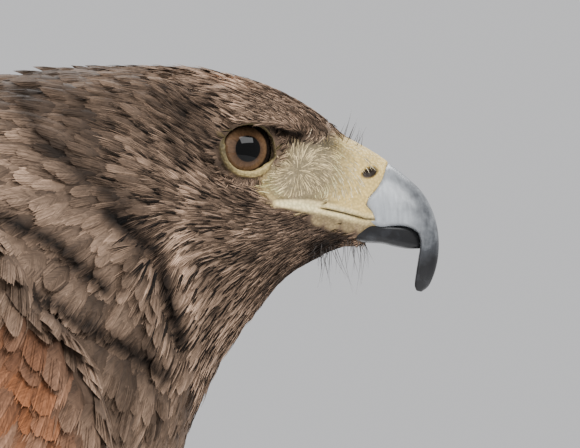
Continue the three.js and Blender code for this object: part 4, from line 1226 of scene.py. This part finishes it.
def granuleGroup():  # beaded bare skin: small raised grains, painted lighter in their middles and darker in the creases between them as painted shade
    group, source, result = newGroup(
        "granules", [("Grain", "Float", 1500.0), ("Stretch", "Vector", (1, 1, 1))],
        [("Shade", "Float"), ("Height", "Float")])
    places = vectorCalc(group, "MULTIPLY", objectPlaces(group), source.outputs["Stretch"])
    cells = addNode(group, "ShaderNodeTexVoronoi", {
        "Vector": places, "Scale": source.outputs["Grain"], "Randomness": 0.9}, feature="F1")
    wide = noiseAt(group, places, 350, 4)
    beads = remap(group, cells.outputs["Distance"], 0, 0.75, 1, 0)
    height = plus(group, beads, times(group, wide, 0.8))
    shade = remap(group, plus(group, beads, wide), 0.5, 1.4, 0.68, 1.12)
    group.links.new(shade, result.inputs["Shade"])
    group.links.new(height, result.inputs["Height"])
    return group


def skinMaterial(granules):
    material, shader = newMaterial("skin", 0.55, **{"Specular IOR Level": 0.3})
    tree = material.node_tree
    beads = addNode(tree, "ShaderNodeGroup", node_tree=granules)
    bare, satin = field(tree, "bare"), field(tree, "satin")
    # skin under the coat is painted at 0.4 of its tone, as painted shade under the plumage
    underCoatShade = times(tree, minus(tree, 1.0, bare), 0.4)
    shade = plus(tree, times(tree, bare, beads.outputs["Shade"]), underCoatShade)
    tintShader(tree, shader, field(tree, "plume", "Color"), shade)
    worn = remap(tree, beads.outputs["Height"], 0.4, 1.4, 0.62, 0.42)
    dull = plus(tree, times(tree, worn, bare), minus(tree, 1.0, bare))
    tree.links.new(dull, shader.inputs["Roughness"])
    rough = times(tree, bare, minus(tree, 1.0, times(tree, satin, 0.85)))
    bump(tree, shader, times(tree, beads.outputs["Height"], rough), 0.8, 0.22)
    return material


def rampAt(tree, share, stops):  # the first two stops take the ramp's own ends
    ramp = addNode(tree, "ShaderNodeValToRGB", {"Fac": share})
    elements = ramp.color_ramp.elements
    for i, (place, colour) in enumerate(stops):
        if i < 2:
            elements[i].position, elements[i].color = place, (*colour, 1)
        else:
            elements.new(place).color = (*colour, 1)
    return ramp.outputs["Color"]


def hornMaterial(name, pale, dark, tip):  # smooth horn that darkens towards its tip, with faint growth lines
    material, shader = newMaterial(name, 0.32, **{"Specular IOR Level": 0.36})
    tree = material.node_tree
    places = objectPlaces(tree)
    cloud = noiseAt(tree, places, 420, 4)
    pulled = addNode(tree, "ShaderNodeMapping", {
        "Vector": places, "Rotation": (0, 0.7, 0), "Scale": (1, 1, 0.12)})
    lines = addNode(tree, "ShaderNodeTexNoise", {
        "Vector": pulled.outputs[0], "Scale": 1500.0, "Detail": 2.0}).outputs["Fac"]
    share = plus(tree, field(tree, "tipward"), remap(tree, cloud, 0.3, 0.7, -0.12, 0.12))
    tone = rampAt(tree, share, [(0.0, pale), (0.97, tip), (0.58, dark)])
    tintShader(tree, shader, tone, remap(tree, lines, 0.3, 0.7, 0.86, 1.12))
    tree.links.new(remap(tree, cloud, 0.3, 0.7, 0.22, 0.4), shader.inputs["Roughness"])
    bump(tree, shader, lines, 0.25, 0.05)
    return material


irisStops = [  # share of 7.2 mm from the pupil's middle, colour
    (0.375, (0.001, 0.001, 0.001)), (0.395, (0.045, 0.024, 0.012)), (0.47, (0.080, 0.043, 0.022)),
    (0.62, (0.115, 0.066, 0.035)), (0.665, (0.040, 0.023, 0.013)), (0.69, (0.007, 0.005, 0.004)),
    (0.78, (0.022, 0.017, 0.015)), (1, (0.012, 0.010, 0.009)),
]


def eyeMaterial(side):  # dark pupil, brown iris with fine rays, and the third lid's dusky edge; the iris's top is darkened as painted shadow of the lid and brow
    middle = Vector((eyeMiddle.x, eyeMiddle.y * side, eyeMiddle.z))
    material, shader = newMaterial(f"eye_{'left' if side > 0 else 'right'}", 0.3, **{
        "Coat Weight": 0.4, "Coat Roughness": 0.015, "Coat IOR": 1.45, "Specular IOR Level": 0.0})
    tree = material.node_tree
    turned = addNode(tree, "ShaderNodeMapping", {
        "Vector": objectPlaces(tree), "Location": tuple(middle), "Rotation": (0, 0, -gazeTurn * side)},
        vector_type="TEXTURE")
    split = addNode(tree, "ShaderNodeSeparateXYZ", {0: turned.outputs[0]}).outputs
    squares = plus(tree, calc(tree, "POWER", split["X"], 2.0), calc(tree, "POWER", split["Z"], 2.0))
    off = times(tree, calc(tree, "SQRT", squares), 1 / mm)
    turn = calc(tree, "ARCTAN2", split["Z"], split["X"])
    ray = triple(tree, calc(tree, "COSINE", turn), calc(tree, "SINE", turn), times(tree, off, 0.12))
    rays = noiseAt(tree, ray, 9.0, 5.0, 0.7)
    tone = rampAt(tree, remap(tree, off, 0, 7.2, 0, 1), irisStops)
    # painted shadow of the upper lid and brow over the top of the iris
    lidShade = remap(tree, split["Z"], 2.2 * mm, 4.6 * mm, 1, 0.3)
    tintShader(tree, shader, tone, times(tree, remap(tree, rays, 0.3, 0.7, 0.65, 1.5), lidShade))
    return material


def plainStage():
    material, shader = newMaterial("studioFloor", 0.9)
    tree = material.node_tree
    grey = backdrop["grey"]
    cloud = noiseAt(tree, objectPlaces(tree), 3, 2)
    tone = blendColour(tree, cloud, (grey * 0.98, grey * 0.98, grey * 0.98, 1), (grey, grey, grey * 1.01, 1))
    tree.links.new(tone, shader.inputs["Base Color"])
    return material


# Bill
def tipwardOf(piece, share):
    form = formOf(piece)
    places = placesOf(form)
    form.free()
    store(piece.data, "tipward", "FLOAT", share(places))


def makeBill(material):
    form = bmesh.new()
    sleeve(form, 72, 90, lambda turn, share: at(*billPoint(billStations, turn, mix(0.005, 1, share))))
    smoothed(form, 2)
    places = placesOf(form)
    hidden = 1 - ease(-1.0, 0.1, places[:, 0] - cereEdge(places[:, 2]))
    moveBy(form, normalsOf(form) * (-2.4 * hidden * (places[:, 2] > -15.5))[:, None])
    hook = pieceFrom(form, "billUpper", material)
    ridgeLine = [ridge for ridge, _, _ in billStations]

    def shares(p):
        crest = 0.28 * (1 - ease(0.5, 6, lineDistance(p, ridgeLine))) * (1 - ease(34, 39, p[:, 0]))
        hooked = 0.52 * ease(31, 41, p[:, 0]) + 0.6 * ease(-18, -27, p[:, 2])
        return np.clip(hooked + crest, 0, 1)

    tipwardOf(hook, shares)
    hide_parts("bill_upper")
    form = bmesh.new()
    sleeve(form, 56, 44, lambda turn, share: at(*billPoint(mandibleStations, turn, share, 0, 0.75)))
    smoothed(form, 2)
    jaw = pieceFrom(form, "billLower", material)
    # the lower mandible is nearly as dark as the hook: its own dark horn, darkened further as painted shade
    # under the upper bill's edge
    tipwardOf(jaw, lambda p: 0.9 + 0.1 * ease(26, 35, p[:, 0]))
    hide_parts("bill_lower")
    report("bill", hook)


# Eyes
def makeEyes():
    for side, name in ((1, "left"), (-1, "right")):
        form = bmesh.new()
        bmesh.ops.create_uvsphere(form, u_segments=64, v_segments=48, radius=eyeRadius)
        for v in form.verts:
            off = math.hypot(v.co.x, v.co.y) / mm
            if v.co.z > 0:
                v.co.z += 0.35 * mm * max(0, 1 - (off / 5.4) ** 2)  # the cornea stands out
        turn = Matrix.Rotation(-gazeTurn * side, 4, "Z") @ Matrix.Rotation(-math.pi / 2 * side, 4, "X")
        middle = Vector((eyeMiddle.x, eyeMiddle.y * side, eyeMiddle.z))
        bmesh.ops.transform(form, matrix=Matrix.Translation(middle) @ turn, verts=form.verts)
        eye = pieceFrom(form, f"eyeball_{name}", eyeMaterial(side))
        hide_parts(f"eye_{name}")
    report("eyes")


# Bristles: single dark hairs on chin and forehead
bristleTufts = [  # root ahead and above, spread, half width, how long, which way, how far it fans
    {"count": 34, "at": (19.5, -19.6), "spread": (6.5, 0.5), "side": 6.0, "long": (5, 10.5),
     "way": (0.05, 0.1, -1), "fan": 0.35},
    {"count": 10, "at": (14.5, -19.5), "spread": (2.5, 0.6), "side": 7.0, "long": (3, 5.5),
     "way": (-0.5, 0.1, -0.9), "fan": 0.3},
    {"count": 12, "at": (21.5, 0.8), "spread": (3.2, 0.8), "side": 5.0, "long": (2.6, 6.5),
     "way": (0.4, 0.2, 1), "fan": 0.35},
]
bristleLook = {"thick": 0.082, "sides": 5, "rows": 7, "bend": 0.25}


def makeBristles(skin, material):
    form = formOf(skin)
    surface = BVHTree.FromBMesh(form)
    form.free()
    form = bmesh.new()
    layer = form.loops.layers.uv.new("OFBake")
    number = 0
    for tuft in bristleTufts:
        for i in range(tuft["count"]):
            side = 1 if i % 2 else -1
            ahead, above = (c + random.uniform(-w, w) for c, w in zip(tuft["at"], tuft["spread"]))
            out = side * tuft["side"] * math.sqrt(random.random())
            root, normal = surface.find_nearest(at(ahead, out, above))[:2]
            fan = [random.uniform(-1, 1) * tuft["fan"] for _ in range(3)]
            way = Vector((tuft["way"][0] + fan[0], tuft["way"][1] * side + fan[1], tuft["way"][2] + fan[2]))
            way = (way + normal * 0.35).normalized()
            long = random.uniform(*tuft["long"]) * mm
            bend = Vector([random.uniform(-1, 1) * bristleLook["bend"] for _ in range(3)])
            across = way.orthogonal().normalized()
            other = way.cross(across)

            def place(turn, share):
                r = bristleLook["thick"] * mm * max(0.12, 1 - share)
                return (root - normal * 0.2 * mm + way * long * share + bend * long * share * share
                        + across * r * math.cos(turn) + other * r * math.sin(turn))

            before = set(form.faces)
            sleeve(form, bristleLook["sides"], bristleLook["rows"], place)
            for face in set(form.faces) - before:
                for loop in face.loops:
                    across = number % 10 + 0.1 + 0.02 * (loop.index % 7)
                    loop[layer].uv = (across / 10, (number // 10 + 0.5) / 10)
            number += 1
    piece = pieceFrom(form, "longBristles", material)
    report("bristles", piece)


def hairMaterial(name, colour):
    material, shader = newMaterial(name, 0.45)
    tree = material.node_tree
    worn = noiseAt(tree, objectPlaces(tree), 300, 2)
    bleached = (*(c * 2.2 for c in colour), 1)
    tree.links.new(blendColour(tree, worn, (*colour, 1), bleached), shader.inputs["Base Color"])
    return material


# Flight feathers and coverts: single vanes laid in tiers over the folded wing
wingTiers = [
    {"name": "primaries", "count": 9, "root": [(0.3, 0.1), (0.34, 0.42)],
     "tip": [(0.86, 0.05), (0.84, 0.6)], "bulge": 0.15, "half": 7.6, "lift": (-6.5, -4.6),
     "tilt": -0.2, "rows": 26, "point": 0.7, "tone": (0.035, 0.027, 0.023), "rim": 0.9},
    {"name": "secondaries", "count": 12, "root": [(0.28, 0.17), (0.36, 0.84)],
     "tip": [(0.73, 0.14), (0.69, 0.88)], "bulge": 0.03, "half": 8.4, "lift": (-4.6, 0.9),
     "tilt": -0.13, "rows": 22, "point": 0.3, "tone": (0.085, 0.056, 0.040), "rim": 1.6},
    {"name": "primaryCoverts", "count": 7, "root": [(0.16, 0.05), (0.2, 0.16)],
     "tip": [(0.46, -0.02), (0.5, 0.12)], "bulge": 0, "half": 5.2, "lift": (-5.5, -2.6),
     "tilt": -0.2, "rows": 14, "point": 0.5, "tone": (0.045, 0.032, 0.026), "rim": 1.2},
    {"name": "greaterCoverts", "count": 13, "root": [(0.2, 0.17), (0.25, 0.84)],
     "tip": [(0.49, 0.15), (0.5, 0.87)], "bulge": 0.02, "half": 6.8, "lift": (-4, 2.4),
     "tilt": -0.13, "rows": 14, "point": 0.3, "tone": (0.105, 0.062, 0.040), "rim": 2.0},
    {"name": "medianCoverts", "count": 14, "root": [(0.17, 0.14), (0.2, 0.86)],
     "tip": [(0.385, 0.13), (0.385, 0.88)], "bulge": 0.02, "half": 6.2, "lift": (-3.4, 2.9),
     "tilt": -0.13, "rows": 12, "point": 0.25, "tone": (0.150, 0.070, 0.036), "rim": 1.9},
    {"name": "lesserCoverts", "count": 15, "root": [(0.12, 0.13), (0.15, 0.87)],
     "tip": [(0.31, 0.12), (0.31, 0.88)], "bulge": 0.015, "half": 5.6, "lift": (-3.0, 3.3),
     "tilt": -0.13, "rows": 10, "point": 0.2, "tone": (0.215, 0.082, 0.034), "rim": 1.5},
]
vaneLook = {"cells": 8, "thick": 0.28, "across": 8, "camber": 0.7}


def vaneWidth(share, point):  # narrow root, full middle, rounded or pointed end
    root = min(1, 0.4 + share * 2.2)
    bend = mix(0.78, 0.55, point)
    end = math.sqrt(max(0, 1 - ((share - bend) / (1 - bend)) ** 2)) if share > bend else 1
    return root * max(end, 0.06)


def layVane(form, number, rows, place, colour, point, half):
    across = vaneLook["across"]
    cell, cells = number % vaneLook["cells"] ** 2, vaneLook["cells"]
    grid = bmesh.ops.create_grid(form, x_segments=across, y_segments=rows, size=0.5)["verts"]
    vane, bake = form.loops.layers.uv["Vane"], form.loops.layers.uv["OFBake"]
    plume, barb, fade = (form.verts.layers.float_color["plume"], form.verts.layers.float["barb"],
                         form.verts.layers.float["fade"])
    notch = {(random.choice((0, across)), random.randint(rows // 2, rows - 2)) for _ in range(3)}
    own = random.random()
    for face in {f for v in grid for f in v.link_faces}:
        for loop in face.loops:
            x, y = loop.vert.co.x + 0.5, loop.vert.co.y + 0.5
            loop[vane].uv = (x, y)
            column, row = cell % cells, cell // cells
            loop[bake].uv = ((column + 0.05 + 0.9 * x) / cells, (row + 0.05 + 0.9 * y) / cells)
    for v in grid:
        side, share = v.co.x * 2, v.co.y + 0.5
        spot = (round((v.co.x + 0.5) * across), round(share * rows))
        pull = 0.72 if spot in notch else 1 - 0.05 * random.random()
        width = half * vaneWidth(share, point) * (pull if abs(side) > 0.9 else 1)
        bow = vaneLook["camber"] * (1 - side * side) + (0.25 if abs(side) < 0.1 else 0) * (1 - share)
        v[plume] = (*colour(share, side), 1)
        v[barb], v[fade] = 0.4, own
        v.co = place(share, side * width, bow)


def wingVanes(form):
    number = 0
    for tier in wingTiers:
        for i in range(tier["count"]):
            t = min(1, max(0, (i + random.uniform(-0.12, 0.12)) / (tier["count"] - 1)))
            longer = tier["bulge"] * (1 - (2 * t - 1) ** 2)
            (r0, r1), (t0, t1) = tier["root"], tier["tip"]
            root = (mix(r0[0], r1[0], t), mix(r0[1], r1[1], t))
            ragged = 0.02 if "overts" in tier["name"] else 0.008
            tip = (mix(t0[0], t1[0], t) + longer + random.uniform(-ragged, ragged),
                   mix(t0[1], t1[1], t) + random.uniform(-ragged, ragged) * 0.8)
            jitter = random.uniform(0.72, 1.22)
            lift = random.uniform(-0.1, 0.25)

            def place(share, off, bow):
                a, u = mix(root[0], tip[0], share), mix(root[1], tip[1], share)
                _, upWay, normal = sheetWays(a, u)
                b = sheetPoint(mix(root[0], tip[0], share + 0.01), mix(root[1], tip[1], share + 0.01))
                way = (b - sheetPoint(a, u)).normalized()
                across = normal.cross(way).normalized()
                across = across if across.dot(upWay) > 0 else -across
                height = armCrest(a) + mix(*tier["lift"], share) + tier["tilt"] * off + bow + lift
                return at(*(sheetPoint(a, u) + across * off + normal * height))

            def colour(share, side):
                edge = mix(1, tier["rim"], max(abs(side) ** 3, share ** 6))
                bars = 1 - 0.12 * (math.sin(share * 46 + t * 5) > 0.5) * (tier["name"] == "secondaries")
                return tuple(c * jitter * edge * bars for c in tier["tone"])

            half = tier["half"] * random.uniform(0.94, 1.1)
            layVane(form, number, tier["rows"], place, colour, tier["point"], half)
            number += 1


def newVanes():
    form = bmesh.new()
    form.loops.layers.uv.new("Vane")
    form.loops.layers.uv.new("OFBake")
    form.verts.layers.float_color.new("plume")
    form.verts.layers.float.new("barb")
    form.verts.layers.float.new("fade")
    return form


def finishVanes(form, name, material, slot, *nodes):
    bmesh.ops.recalc_face_normals(form, faces=form.faces)
    bmesh.ops.solidify(form, geom=form.faces[:], thickness=vaneLook["thick"] * mm)
    piece = pieceFrom(form, name, material)
    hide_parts(*nodes)
    report(name, piece)


def makeWings(material):
    form = newVanes()
    wingVanes(form)
    other = form.copy()
    bmesh.ops.scale(other, vec=(1, -1, 1), verts=other.verts)
    finishVanes(form, "wingFeathers_left", material, "chestnut_plumage", "wing_left")
    finishVanes(other, "wingFeathers_right", material, "chestnut_plumage", "wing_right")


# Tail: twelve tail feathers in layers, with long white coverts above and below their roots
tailAxis = {"fall": 40, "root": (-195.5, -99), "arch": 0.006, "sag": 0.00006}
tailFan = {"pairs": 6, "half": 14, "layer": 1.3, "start": 4, "length": 224, "shorter": 2.2,
           "root": (1.2, 1.5), "tip": (5, 2.8), "inward": 11, "dark": (0.028, 0.021, 0.018)}
tailCoverts = [
    {"each": 4, "half": 5.5, "step": (2.4, 3.6), "length": 74, "shorter": 3.5, "height": (3.6, 3.4)},
    {"each": 4, "half": 4.5, "step": (2.2, 2.8), "length": 50, "shorter": 3, "height": (6.2, 4.6)},
    {"each": 4, "half": 5.5, "step": (2.4, 3.6), "length": 92, "shorter": 4, "height": (-8.4, -10.4)},
    {"each": 4, "half": 5.5, "step": (2.4, 3.2), "length": 60, "shorter": 4, "height": (-10.4, -11.6)},
]


def tailPoint(length, side, height):
    fall = math.radians(tailAxis["fall"])
    x0, z0 = tailAxis["root"]
    lift = height - tailAxis["arch"] * side * side + tailAxis["sag"] * length * length
    return at(x0 - math.cos(fall) * length - math.sin(fall) * lift, side,
              z0 - math.sin(fall) * length + math.cos(fall) * lift)


def makeTail(material):
    form = newVanes()
    number = 0
    fan = tailFan
    for side in (1, -1):
        for i in range(fan["pairs"]):
            level = fan["layer"] if i == 0 and side > 0 else -fan["layer"] * i
            end = fan["length"] - fan["shorter"] * i + random.uniform(-0.8, 0.8)
            middle = [side * (first + step * i) for first, step in (fan["root"], fan["tip"])]
            inward = fan["inward"] if i == 0 else fan["half"]

            def place(share, off, bow):
                off = off * (inward / fan["half"] if off * side < 0 else 1)
                across = mix(*middle, share) + off
                across = side * max(0.2, across * side) if i else across
                return tailPoint(mix(fan["start"], end, share), across, level + bow * 0.5)

            def colour(share, across):  # dark, with white base and tip
                tip = ease(0.885, 0.9, share + 0.01 * math.sin(across * 5))
                band = float(tip) + float(1 - ease(0.2, 0.27, share))
                tone = mix(np.array(fan["dark"]), tones["white"], min(band, 1))
                return tuple(tone * (1 - 0.12 * abs(across)))

            layVane(form, number, 30, place, colour, 0.1, fan["half"])
            number += 1
    for row in tailCoverts:
        for i in range(-row["each"], row["each"] + 1):
            def place(share, off, bow):
                across = mix(i * row["step"][0], i * row["step"][1], share) + off
                up = math.copysign(0.7 * (i & 1) + bow * 0.5, row["height"][0])
                reach = mix(2, row["length"] - row["shorter"] * abs(i), share)
                return tailPoint(reach, across, mix(*row["height"], share) + up)

            def colour(share, across):
                return tuple(tones["white"] * mix(0.8, 1, share))

            layVane(form, number, 12, place, colour, 0.3, row["half"])
            number += 1
    finishVanes(form, "tailFeathers", material, "tail_plumage", "tail")


def vaneMaterial(name):  # a whole vane: shaft and slanting barbs
    material, shader = newMaterial(name, 0.65, **{"Specular IOR Level": 0.12})
    tree = material.node_tree
    split = addNode(tree, "ShaderNodeSeparateXYZ", {0: vaneSpot(tree)}).outputs
    across = calc(tree, "ABSOLUTE", minus(tree, split["X"], 0.5))
    slant = minus(tree, times(tree, split["Y"], 7.0), times(tree, across, 2.2))
    own = times(tree, field(tree, "fade"), 40.0)
    rows = triple(tree, times(tree, slant, 26.0), times(tree, across, 2.0), own)
    barbs = noiseAt(tree, rows, 1.0, 3.0, 0.65)
    shaft = remap(tree, across, 0.0, 0.03, 1, 0)
    cloud = noiseAt(tree, objectPlaces(tree), 120, 3)
    bright = times(tree, remap(tree, barbs, 0.3, 0.7, 0.5, 1.5), remap(tree, cloud, 0.3, 0.7, 0.8, 1.2))
    bright = times(tree, bright, minus(tree, 1.0, times(tree, shaft, 0.6)))
    tintShader(tree, shader, field(tree, "plume", "Color"), bright)
    bump(tree, shader, plus(tree, barbs, shaft), 0.5, 0.2)
    return material


# Legs: scaled shanks and toes, and black claws
legSide = 31
ankle, footPlace = (-108, -219), (-92, -305)  # ahead, above
shankBottom = footPlace[1] + 7
shankSizes = [  # share, fore, side
    (0, 6.4, 5.8), (0.12, 6.0, 5.0), (0.45, 4.9, 4.1), (0.8, 5.0, 4.7), (1, 6.2, 6.6),
]
toes = [
    {"name": "toe1", "heading": 186, "long": 26, "thick": 4.6, "claw": 26, "lift": 40, "bend": 14,
     "root": 3.5, "scutes": 7},
    {"name": "toe2", "heading": -26, "long": 36, "thick": 4.5, "claw": 23, "lift": 38, "bend": 12.8,
     "root": 3.2, "scutes": 10},
    {"name": "toe3", "heading": 4, "long": 50, "thick": 4.3, "claw": 18, "lift": 32, "bend": 10.5,
     "root": 2.8, "scutes": 15},
    {"name": "toe4", "heading": 48, "long": 38, "thick": 4.0, "claw": 15, "lift": 30, "bend": 9,
     "root": 2.6, "scutes": 11},
]
toeHeights = [0.95, 0.84, 0.93, 0.75, 1.16]  # middle of a toe in thicknesses, root to claw
footPad = (8.7, 8.4, 7.6, 5.6)  # half sizes and height of its middle
scuteLook = {"rise": 0.5, "shank": 13, "step": 0.16}


def scuteRise(place, front):  # a saw of overlapping plates, each proud at its lower end
    step = place % 1
    return scuteLook["rise"] * front * min(step / (1 - scuteLook["step"]), (1 - step) / scuteLook["step"])


def markPlates(form, verts, count, shareOf, frontOf):  # where the plates are and where each one ends
    plate, seam = form.verts.layers.float["plate"], form.verts.layers.float["seam"]
    for v in verts:
        front = float(ease(0.25, 0.5, frontOf(v.co)))
        step = shareOf(v.co) * count % 1
        v[plate] = front
        v[seam] = front * (1 - float(ease(0.0, 0.12, min(step, 1 - step))))


def shankPoint(turn, share):
    fore, wide = tableAt(shankSizes, share), tableAt(shankSizes, share, 2)
    front = max(0, math.cos(turn)) ** 0.6
    back = max(0, -math.cos(turn)) ** 0.8 * 0.6
    rise = scuteRise(share * scuteLook["shank"], front) + scuteRise(share * scuteLook["shank"] * 1.4, back)
    return (mix(ankle[0], footPlace[0], share) + math.cos(turn) * (fore + rise),
            legSide + math.sin(turn) * (wide + rise * 0.4), mix(ankle[1], shankBottom, share))


def downShank(spot):  # 0 at the ankle, 1 at the foot
    return ((spot.z - home.z) / mm - ankle[1]) / (shankBottom - ankle[1])


def shankFront(spot):  # how far a spot is in front of the shank's middle
    p = (spot - home) / mm
    return (p.x - mix(ankle[0], footPlace[0], downShank(spot))) / 5.5


def toeMiddle(toe, share):
    points = [(i / 4 * toe["long"], height * toe["thick"]) for i, height in enumerate(toeHeights)]
    ahead, up = curveAt(points, share)
    heading = math.radians(toe["heading"])
    return Vector((footPlace[0] + math.cos(heading) * ahead, legSide + math.sin(heading) * ahead,
                   footPlace[1] + up))


def toePoint(toe, turn, share):
    heading = math.radians(toe["heading"])
    across = Vector((-math.sin(heading), math.cos(heading), 0))
    knuckle = 1 + 0.10 * math.cos(share * 6 * math.pi)
    r = toe["thick"] * mix(1.06, 0.8, share) * knuckle
    top = max(0, math.sin(turn)) ** 0.6
    pads = 0.35 * max(0, -math.sin(turn)) * math.sin(share * 14 * math.pi)
    rise = scuteRise(share * toe["scutes"], top) + pads
    up = Vector((0, 0, (r * 0.96 + rise) * math.sin(turn)))
    p = toeMiddle(toe, share) + across * (r * 0.92 + rise * 0.5) * math.cos(turn) + up
    p.z = max(p.z, footPlace[1] + 0.02)
    return p


def alongToe(toe, spot):
    p = (spot - home) / mm
    heading = math.radians(toe["heading"])
    return ((p.x - footPlace[0]) * math.cos(heading) + (p.y - legSide) * math.sin(heading)) / toe["long"]


def toeTop(toe, spot):  # how far a spot is above the toe's middle
    middle = toeMiddle(toe, min(1, max(0, alongToe(toe, spot))))
    return ((spot.z - home.z) / mm - middle.z) / toe["thick"]


def makeLegs(material, clawMaterial):
    for side, name in ((1, "left"), (-1, "right")):
        form = bmesh.new()
        form.verts.layers.float.new("plate")
        form.verts.layers.float.new("seam")
        markPlates(form, sleeve(form, 40, 130, lambda turn, share: at(*shankPoint(turn, share))),
                   scuteLook["shank"], downShank, shankFront)
        for toe in toes:
            markPlates(form, sleeve(form, 26, 80, lambda turn, share: at(*toePoint(toe, turn, share))),
                       toe["scutes"], lambda spot: alongToe(toe, spot), lambda spot: toeTop(toe, spot))
        pad = bmesh.ops.create_uvsphere(form, u_segments=36, v_segments=24, radius=1)["verts"]
        for v in pad:
            v.co = at(footPlace[0] + v.co.x * footPad[0], legSide + v.co.y * footPad[1],
                      footPlace[1] + max(0.02, footPad[3] + v.co.z * footPad[2]))
        if side < 0:
            bmesh.ops.scale(form, vec=(1, -1, 1), verts=form.verts)
        bmesh.ops.recalc_face_normals(form, faces=form.faces)
        leg = pieceFrom(form, f"leg_{name}", material)
        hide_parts(f"shank_{name}", f"foot_{name}")
        for toe in toes:
            makeClaw(toe, side, name, clawMaterial)
    report("legs", leg)


def makeClaw(toe, side, name, material):
    heading, lift = math.radians(toe["heading"]), math.radians(toe["lift"])
    way = Vector((math.cos(heading), math.sin(heading), 0))
    across = Vector((-way.y, way.x, 0))
    start = toeMiddle(toe, 1) - way * 0.6

    def place(turn, share):
        slope = lift - toe["claw"] / toe["bend"] * share
        ahead = toe["bend"] * (math.sin(lift) - math.sin(slope))
        up = toe["bend"] * (math.cos(slope) - math.cos(lift))
        r = toe["root"] * max(0.05, (1 - share) ** 0.8) * (1.06 if share > 0.04 else 0.9)
        normal = Vector((0, 0, math.cos(slope))) - way * math.sin(slope)
        p = start + way * ahead + Vector((0, 0, up)) + across * (r * 0.72 * math.cos(turn))
        p = p + normal * (r * math.sin(turn))
        return at(p.x, p.y * side, max(p.z, footPlace[1] + 0.15))

    form = bmesh.new()
    sleeve(form, 20, 26, place)
    claw = pieceFrom(form, f"claw_{toe['name']}Horn_{name}", material)
    tip = place(0, 1)
    far = (place(0, 0) - tip).length
    spots = np.array([v.co for v in claw.data.vertices])
    away = np.linalg.norm(spots - np.array(tip), axis=1) / far
    store(claw.data, "tipward", "FLOAT", 1 - np.clip(away, 0, 1) * 0.8)
    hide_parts(f"claw_{toe['name']}_{name}")


def scaleMaterial(name, pale, dusky):  # small scales between the plates, darker in their creases
    material, shader = newMaterial(name, 0.5, **{"Specular IOR Level": 0.45})
    tree = material.node_tree
    places = objectPlaces(tree)
    cells = addNode(tree, "ShaderNodeTexVoronoi", {"Vector": places, "Scale": 620.0},
                    feature="DISTANCE_TO_EDGE")
    crease = remap(tree, cells.outputs["Distance"], 0, 0.1, 0, 1)
    plates = minus(tree, 1.0, field(tree, "seam"))
    crease = addNode(tree, "ShaderNodeMix", {0: field(tree, "plate"), 2: crease, 3: plates}).outputs[0]
    cloud = noiseAt(tree, places, 160, 4)
    tone = blendColour(tree, remap(tree, cloud, 0.35, 0.7, 0, 1), (*pale, 1), (*dusky, 1))
    tone = blendColour(tree, crease, (*(c * 0.55 for c in dusky), 1), tone)
    tree.links.new(tone, shader.inputs["Base Color"])
    tree.links.new(remap(tree, cloud, 0.3, 0.7, 0.4, 0.6), shader.inputs["Roughness"])
    bump(tree, shader, plus(tree, crease, cloud), 0.5, 0.25)
    return material


# Whole bird
granules = granuleGroup()
barbTone = barbGroup()
plumage = featherMaterial("plumage", barbTone, 0.94, 0.62, 0.3)
bristles = featherMaterial("bristles", barbTone, 0.4, 0.5, 0.5, 3.5, 0.6)
horn = hornMaterial("horn", (0.36, 0.38, 0.40), (0.045, 0.048, 0.054), (0.007, 0.007, 0.008))
vanes = vaneMaterial("vanes")
clawHorn = hornMaterial("clawHorn", (0.045, 0.043, 0.045), (0.02, 0.02, 0.022), (0.012, 0.012, 0.013))
legSkin = scaleMaterial("legSkin", (0.78, 0.54, 0.13), (0.62, 0.40, 0.10))
makeFloor(plainStage())
skin = pieceFrom(makeSkinForm(), "skin", skinMaterial(granules))
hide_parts("torso", "neck", "head", "cere", "thigh_left", "thigh_right")
dressSkin(skin)
report("skin", skin)
kinds = featherKinds()
for coat in coats:
    for side in ("right", "left"):
        makeCoat(skin, coat, side, kinds, bristles if coat["name"] == "lore" else plumage)
# the same bands of painted shade and light on the skin, save where it is bare
bareShare = np.zeros(len(skin.data.vertices), dtype=np.float32)
skin.data.attributes["bare"].data.foreach_get("value", bareShare)
drawStrokes(skin.data, 1 - bareShare)
makeBristles(skin, hairMaterial("hair", (0.02, 0.015, 0.012)))
makeBill(horn)
makeEyes()
makeWings(vanes)
makeTail(vanes)
makeLegs(legSkin, clawHorn)
